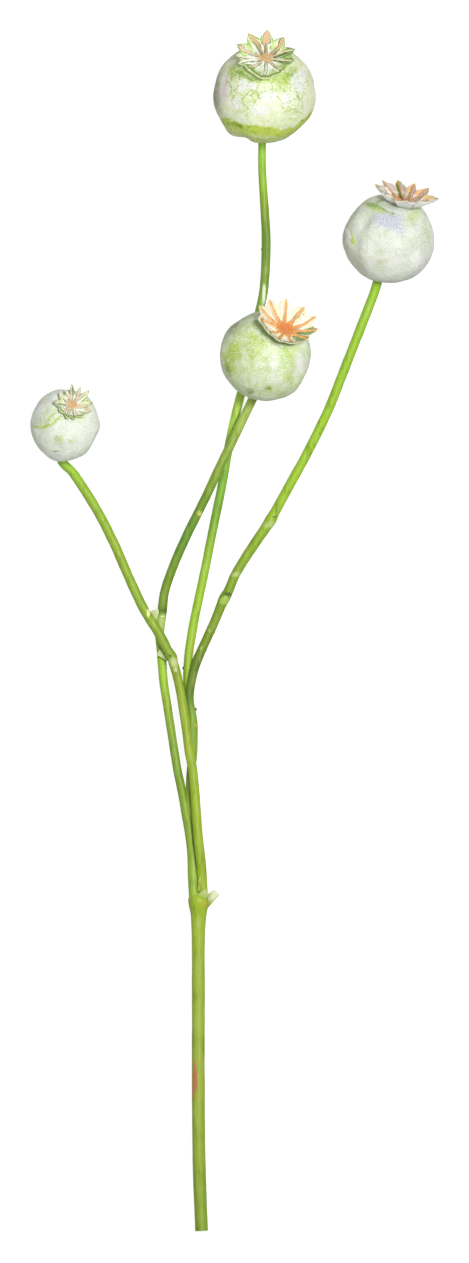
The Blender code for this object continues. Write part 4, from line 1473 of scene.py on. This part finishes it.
BRANCHES = (
    Branch("stalk", route=(
        (-13.9, -252.4, 2.72, 2.72), (-14.9, -226.4, 3.1, 2.75), (-15.3, -197.0, 3.5, 2.75),
        (-15.3, -155.0, 4.2, 2.75), (-15.3, -127.7, 4.9, 2.85), (-15.2, -118.9, 5.4, 3.4),
        (-15.2, -114.6, 5.7, 4.3), (-15.2, -112.4, 5.8, 4.3), (-15.1, -110.8, 5.8, 3.1)),
        finish=StemFinish("rind_stalk", tones=((-253, rgb(130, 156, 40)), (-225, rgb(142, 166, 44)),
            (-200, rgb(152, 172, 52)), (-150, rgb(158, 178, 54)), (-108, rgb(158, 186, 46))),
            shift=0.0, spots=(
            Spot((-16.9, -188.2), 8.2, 1.0, ROSE, 0.85),
            Spot((-14.6, -113.4), 0.3, 1.4, AMBER, 0.5),
            Spot((-13.2, -114.6), 1.2, 1.6, AMBER, 0.5),
            Spot((-15.3, -122.8), 2.4, 1.1, COLLAR, 0.3),
            # painted shade: a darker strip down the right side of the stalk's lower end
            Spot((-12.4, -238.0), 15.0, 0.9, GREEN, 0.7)))),
    Branch("stem_centre", route=(
        (-17.0, -113.0, 6.6, 2.2), (-17.5, -102.5, 5.6, 2.25), (-17.7, -94.1, 5.0, 2.25),
        (-18.6, -85.7, 4.8, 2.3), (-20.6, -76.0, 4.6, 1.95), (-22.1, -68.0, 4.5, 1.85),
        (-24.1, -58.4, 4.3, 1.8), (-28.1, -33.2, 4.0, 1.8), (-30.0, -20.6, 3.9, 1.85),
        (-31.0, -8.0, 3.8, 1.9), (-31.6, -0.8, 3.9, 2.0), (-31.0, 5.5, 4.1, 2.15),
        (-30.5, 8.6, 4.3, 2.05), (-29.5, 16.4, 4.9, 1.9), (-24.8, 29.8, 6.0, 1.9),
        (-19.1, 42.4, 6.9, 1.9), (-12.8, 55.0, 7.7, 1.9), (-6.9, 67.6, 8.4, 1.9),
        (-0.8, 80.2, 8.9, 1.9), (4.6, 91.5, 9.6, 1.9)),
        finish=StemFinish("rind_centre", tones=((-113, rgb(154, 186, 56)), (-78, rgb(136, 168, 46)),
            (-60, rgb(122, 158, 40)), (-34, rgb(144, 178, 48)), (-18, LIME), (4, LIME),
            (9, rgb(106, 140, 32)), (20, rgb(118, 150, 34)), (40, rgb(100, 146, 42)),
            # the tones at 80 and 100 are painted light: lighter, to offset the shadow the centre globe
            # casts here
            (60, rgb(120, 154, 38)), (80, rgb(150, 176, 70)), (100, rgb(178, 200, 96))),
            shift=1.0, spots=(
            Spot((-30.7, 3.0), 4.2, 2.4, COLLAR, 0.8), Spot((-30.6, 8.6), 1.2, 2.4, NOTCH, 0.6),
            Spot((-30.4, 6.1), 0.4, 0.9, GLINT, 0.7),
            Spot((-14.8, 49.3), 1.5, 1.1, rgb(226, 214, 120), 0.9))),
        head=CENTRE),
    Branch("stem_left", route=(
        (-13.2, -112.5, 7.0, 2.0), (-13.7, -103.7, 7.5, 2.05), (-14.3, -96.2, 8.8, 2.05),
        (-15.3, -86.9, 9.4, 2.0), (-16.5, -71.0, 9.6, 1.95), (-17.6, -58.8, 9.5, 1.95),
        (-19.0, -51.2, 9.4, 1.95), (-20.8, -38.2, 9.2, 1.95), (-22.6, -26.9, 9.0, 1.9),
        (-24.2, -18.9, 8.9, 1.95), (-25.8, -13.4, 8.9, 2.05), (-26.5, -10.7, 8.9, 2.25),
        (-28.3, -8.0, 8.9, 2.0), (-29.3, -5.9, 8.9, 2.15), (-31.0, -2.6, 8.85, 2.1),
        (-33.2, 1.2, 8.7, 2.0), (-35.5, 4.6, 8.6, 2.0), (-39.1, 10.9, 8.3, 2.0),
        (-44.9, 23.5, 7.6, 2.0), (-50.4, 36.1, 6.8, 2.0), (-56.7, 48.7, 6.0, 2.0),
        (-64.4, 61.3, 4.9, 2.0), (-68.6, 67.2, 4.4, 1.95)),
        finish=StemFinish("rind_left", tones=((-112, rgb(152, 180, 40)), (-50, rgb(158, 182, 42)),
            (-20, rgb(146, 170, 40)), (-8, rgb(136, 166, 38)), (14, rgb(142, 176, 40)),
            (40, rgb(148, 180, 42)), (72, rgb(152, 196, 50))),
            shift=2.0, spots=(
            Spot((-36.3, 7.6), 1.7, 0.8, rgb(236, 236, 160)),
            Spot((-25.8, -13.2), 2.2, 2.4, COLLAR), Spot((-27.2, -10.4), 0.5, 1.0, NOTCH),
            Spot((-24.9, -16.2), 0.8, 0.8, STRAW, 0.6),
            Spot((-34.2, 3.6), 3.0, 0.8, rgb(170, 198, 80), 0.5))),
        head=LEFT),
    Branch("stem_right", route=(
        (-18.5, -88.6, 4.8, 1.8), (-18.8, -77.3, 4.4, 1.9), (-18.8, -66.8, 4.1, 1.9),
        (-18.3, -58.4, 4.0, 1.9), (-17.6, -50.8, 4.0, 1.9), (-17.5, -44.9, 4.0, 1.95),
        (-17.6, -39.1, 4.1, 2.0), (-18.0, -35.7, 4.2, 1.95), (-18.8, -31.5, 4.3, 1.95),
        (-19.2, -27.7, 4.5, 2.0), (-18.3, -20.6, 4.8, 2.05), (-16.6, -14.3, 5.1, 2.05),
        (-13.9, -8.0, 5.3, 1.95), (-8.2, 4.6, 5.7, 1.95), (-5.4, 11.5, 5.9, 2.1),
        (-4.2, 13.9, 6.0, 2.4), (-2.9, 16.2, 6.1, 2.1), (0.2, 23.5, 6.3, 2.0),
        (8.0, 36.1, 6.9, 2.1), (13.4, 44.0, 7.2, 2.25), (15.1, 46.6, 7.4, 2.5),
        (16.4, 49.0, 7.5, 2.15), (23.1, 61.3, 8.3, 2.05), (30.0, 73.9, 9.3, 2.0),
        (39.3, 92.8, 10.9, 2.0), (46.8, 111.7, 12.4, 2.0), (52.9, 127.3, 13.5, 2.0)),
        # the tone at -90 is painted light: lighter, to soften the shade in the groove under stem_left
        finish=StemFinish("rind_right", tones=((-90, rgb(178, 202, 70)), (-70, rgb(166, 194, 70)),
            (-58, rgb(142, 176, 54)), (-34, rgb(126, 162, 46)), (-28, rgb(100, 134, 42)),
            (-14, rgb(100, 126, 36)), (-6, rgb(120, 150, 36)), (12, rgb(130, 162, 38)),
            (40, rgb(140, 174, 40)), (52, rgb(156, 196, 44)), (90, rgb(156, 198, 46)),
            (135, rgb(150, 194, 46))),
            shift=3.0, spots=(
            Spot((-3.9, 12.6), 1.4, 2.4, rgb(176, 204, 96), 0.8),
            Spot((-2.7, 15.6), 0.6, 1.3, NOTCH), Spot((15.0, 44.6), 1.6, 2.6, COLLAR, 0.85),
            Spot((16.6, 48.0), 0.4, 1.2, NOTCH, 0.8), Spot((0.8, 23.9), 1.2, 2.4, COLLAR, 0.7),
            Spot((17.4, 51.5), 3.0, 0.4, NOTCH, 0.6), Spot((-10.6, 0.3), 0.9, 0.6, COLLAR, 0.5),
            Spot((-14.0, -7.2), 0.9, 0.6, COLLAR, 0.6),
            # painted highlight: a pale blue-green streak along the stem
            Spot((-18.0, -40.0), 9.0, 0.5, rgb(170, 204, 96), 0.5),
            Spot((-16.3, -39.5), 0.9, 0.5, AMBER, 0.8),
            Spot((-17.0, -20.0), 3.5, 0.7, AMBER, 0.25))),
        head=RIGHT),
    Branch("stem_top", route=(
        (-19.2, -29.0, 4.4, 1.7), (-19.9, -20.6, 4.1, 1.8), (-19.7, -13.0, 3.9, 1.8),
        (-19.1, -8.0, 3.8, 1.85), (-17.0, 4.6, 3.7, 1.85), (-13.0, 23.5, 3.6, 1.85),
        (-9.2, 42.4, 3.5, 1.85), (-5.5, 60.5, 3.3, 1.85), (-2.0, 80.2, 3.15, 1.85),
        (0.8, 92.8, 3.05, 1.85), (4.6, 107.5, 2.95, 1.85), (8.0, 122.2, 2.9, 1.85),
        (10.3, 134.0, 2.95, 1.85), (12.2, 143.2, 3.1, 1.85), (13.1, 155.8, 3.4, 1.9),
        (13.2, 166.3, 3.7, 1.9), (12.2, 183.1, 4.1, 1.75), (11.5, 195.7, 4.2, 1.65)),
        finish=StemFinish("rind_top", tones=((-30, rgb(140, 180, 50)), (-10, rgb(154, 190, 42)),
            (10, rgb(158, 202, 48)), (32, rgb(150, 190, 48)), (45, rgb(122, 168, 42)),
            # the tones at 80 and 98 are painted light: lighter, to offset the shadow the centre globe
            # casts here
            (66, rgb(128, 184, 52)), (80, rgb(158, 206, 60)), (98, rgb(196, 232, 92)),
            (132, rgb(136, 172, 62)), (148, rgb(120, 152, 56)), (170, rgb(112, 146, 40)),
            (180, rgb(138, 170, 36)), (190, rgb(148, 192, 42)), (206, rgb(148, 200, 54))),
            shift=4.0, spots=(
            Spot((12.3, 142.0), 4.5, 0.6, GLINT, 0.7), Spot((11.6, 136.5), 3.0, 0.4, GLINT, 0.4),
            Spot((13.0, 166.0), 12.0, 0.3, NOTCH, 0.3), Spot((13.2, 152.0), 2.0, 1.0, AMBER, 0.2),
            Spot((-17.9, -6.0), 4.0, 0.7, AMBER, 0.35))),
        head=TOP),
)

HUSKS = (
    Husk("leaf_stub", (-13.2, -115.5, 6.0), (-7.6, -109.8, 6.6), wide=2.1, narrow=1.7, thin=1.2,
         finish=StemFinish("husk_stub", ((-117, rgb(150, 178, 60)), (-113.6, rgb(182, 200, 110)),
                                         (-112.2, STRAW), (-108, rgb(228, 230, 196))), shift=5.0)),
    Husk("sheath_fold", (-14.9, -112.2, 8.6), (-11.3, -109.8, 9.4), wide=1.6, narrow=1.8, thin=0.3,
         finish=StemFinish("husk_fold", ((-114, rgb(158, 180, 74)), (-111, rgb(176, 194, 116)),
                                         (-107, rgb(196, 208, 150))), shift=5.5)),
    Husk("crotch_bud", (-15.2, -109.5, 8.2), (-14.6, -103.6, 9.2), wide=0.9, narrow=0.5, thin=0.6,
         finish=StemFinish("husk_bud", ((-110, rgb(150, 168, 52)), (-103, rgb(190, 196, 92))),
                           shift=6.0)),
    Husk("web_upper", (-32.2, 3.2, 5.0), (-33.9, 8.9, 5.6), wide=0.7, narrow=1.9, thin=0.2,
         finish=StemFinish("husk_upper", ((2, COLLAR), (9, rgb(214, 222, 178))),
                           shift=7.0)),
    Husk("web_lower", (-27.6, -11.3, 7.4), (-32.3, -9.0, 6.8), wide=1.5, narrow=1.3, thin=0.4,
         finish=StemFinish("husk_lower", ((-12, rgb(184, 200, 128)), (-6, rgb(206, 216, 170))),
                           shift=8.0)),
)

SCARS = Scars(((13.9, 172.6, 3.8), (11.9, 160.6, 3.2), (-16.8, -33.0, 4.3), (-21.2, -15.6, 4.0)),
              StemFinish("bud_scars", ((-40, rgb(84, 100, 40)), (180, rgb(96, 96, 56))), shift=9.0))


@dataclass(frozen=True)
class Studio:
    """Plain floor, soft light and a camera straight above."""

    floor_size: float = 6000.0
    lens: float = 600.0
    sensor: float = 36.0
    view_height: float = 530.46
    middle: Point = (-0.1, -0.2, 20.0)
    world: float = 0.15  # strength of the surroundings as a light

    def camera(self) -> None:
        """Camera that looks straight down, with +Y at the top of the frame."""
        data = bpy.data.cameras.new("camera")
        data.lens = self.lens
        data.sensor_width = self.sensor
        data.clip_end = 100.0
        distance = self.view_height * self.lens / self.sensor
        eye = bpy.data.objects.new("camera", data)
        eye.location = Vector((self.middle[0], self.middle[1], self.middle[2] + distance)) * MM
        bpy.context.scene.collection.objects.link(eye)
        bpy.context.scene.camera = eye

    def floor(self) -> None:
        """Plain white floor at the height of the surface the spray lies on."""
        half = self.floor_size / 2 * MM
        mesh = bpy.data.meshes.new("floor")
        corners = [(-half, -half, 0), (half, -half, 0), (half, half, 0), (-half, half, 0)]
        mesh.from_pydata(corners, [], [(0, 1, 2, 3)])
        floor = bpy.data.objects.new("floor", mesh)
        bpy.context.scene.collection.objects.link(floor)
        mesh.materials.append(new_material("floor", self.paint))

    @staticmethod
    def paint(bench: Bench) -> dict[str, Any]:
        """Nodes of a floor that looks white to the camera but throws little light back up.

        Args:
            bench: Where they go.

        Returns:
            A value or wire for each socket of the shader.
        """
        seen = bench.add("ShaderNodeLightPath", key="Is Camera Ray")
        glow = bench.mix(seen, rgb(150, 150, 150), rgb(255, 255, 255))
        return {"Base Color": rgb(160, 160, 160), "Roughness": 0.9, "Specular IOR Level": 0.0,
                "Emission Color": glow, "Emission Strength": 0.9}

    def lamp(self, name: str, place: Point, size: float, power: float) -> None:
        """Square soft light that points at the middle of the spray.

        Args:
            name: Its name.
            place: Where it hangs, in metres.
            size: Length of its side, in metres.
            power: Its power in watts.
        """
        data = bpy.data.lights.new(name, "AREA")
        data.size = size
        data.energy = power
        lamp = bpy.data.objects.new(name, data)
        lamp.location = place
        toward = Vector(self.middle) * MM - Vector(place)
        lamp.rotation_mode = "QUATERNION"
        lamp.rotation_quaternion = toward.to_track_quat("-Z", "Y")
        bpy.context.scene.collection.objects.link(lamp)

    def sky(self) -> None:
        """Even white surroundings, dimmer as a light than they look."""
        world = bpy.data.worlds.new("studio")
        world.use_nodes = True
        world.node_tree.nodes.clear()
        bench = Bench(world.node_tree)
        seen = bench.add("ShaderNodeLightPath", key="Is Camera Ray")
        values = {"Color": (1.0, 1.0, 1.0, 1.0), "Strength": self.world + (1.0 - self.world) * seen}
        background = bench.add("ShaderNodeBackground", values)
        bench.node("ShaderNodeOutputWorld", {"Surface": background})
        bpy.context.scene.world = world

    def build(self) -> None:
        """Sets up the whole studio."""
        self.camera()
        self.floor()
        self.sky()
        self.lamp("key", (0.6, 0.4, 2.2), size=0.6, power=47.0)
        self.lamp("fill", (-1.2, -0.3, 1.8), size=1.2, power=9.0)
        settings = bpy.context.scene.view_settings
        settings.view_transform = "Standard"


def report(piece: bpy.types.Object) -> None:
    """Logs the name and the faces of a finished piece."""
    LOG.info("%s: %d faces", piece.name, len(piece.data.polygons))


def main() -> None:
    """Builds every piece in order."""
    logging.basicConfig(level=logging.INFO, format="%(message)s")
    Studio().build()
    wax, rind = wax_recipe(), rind_recipe()
    for globe in (TOP, RIGHT, CENTRE, LEFT):
        report(globe.build(wax))
        report(globe.crown.build(globe.centre()))
    for branch in BRANCHES:
        report(branch.build(rind))
    for extra in (*HUSKS, SCARS):
        report(extra.build())


if __name__ == "__main__":
    main()
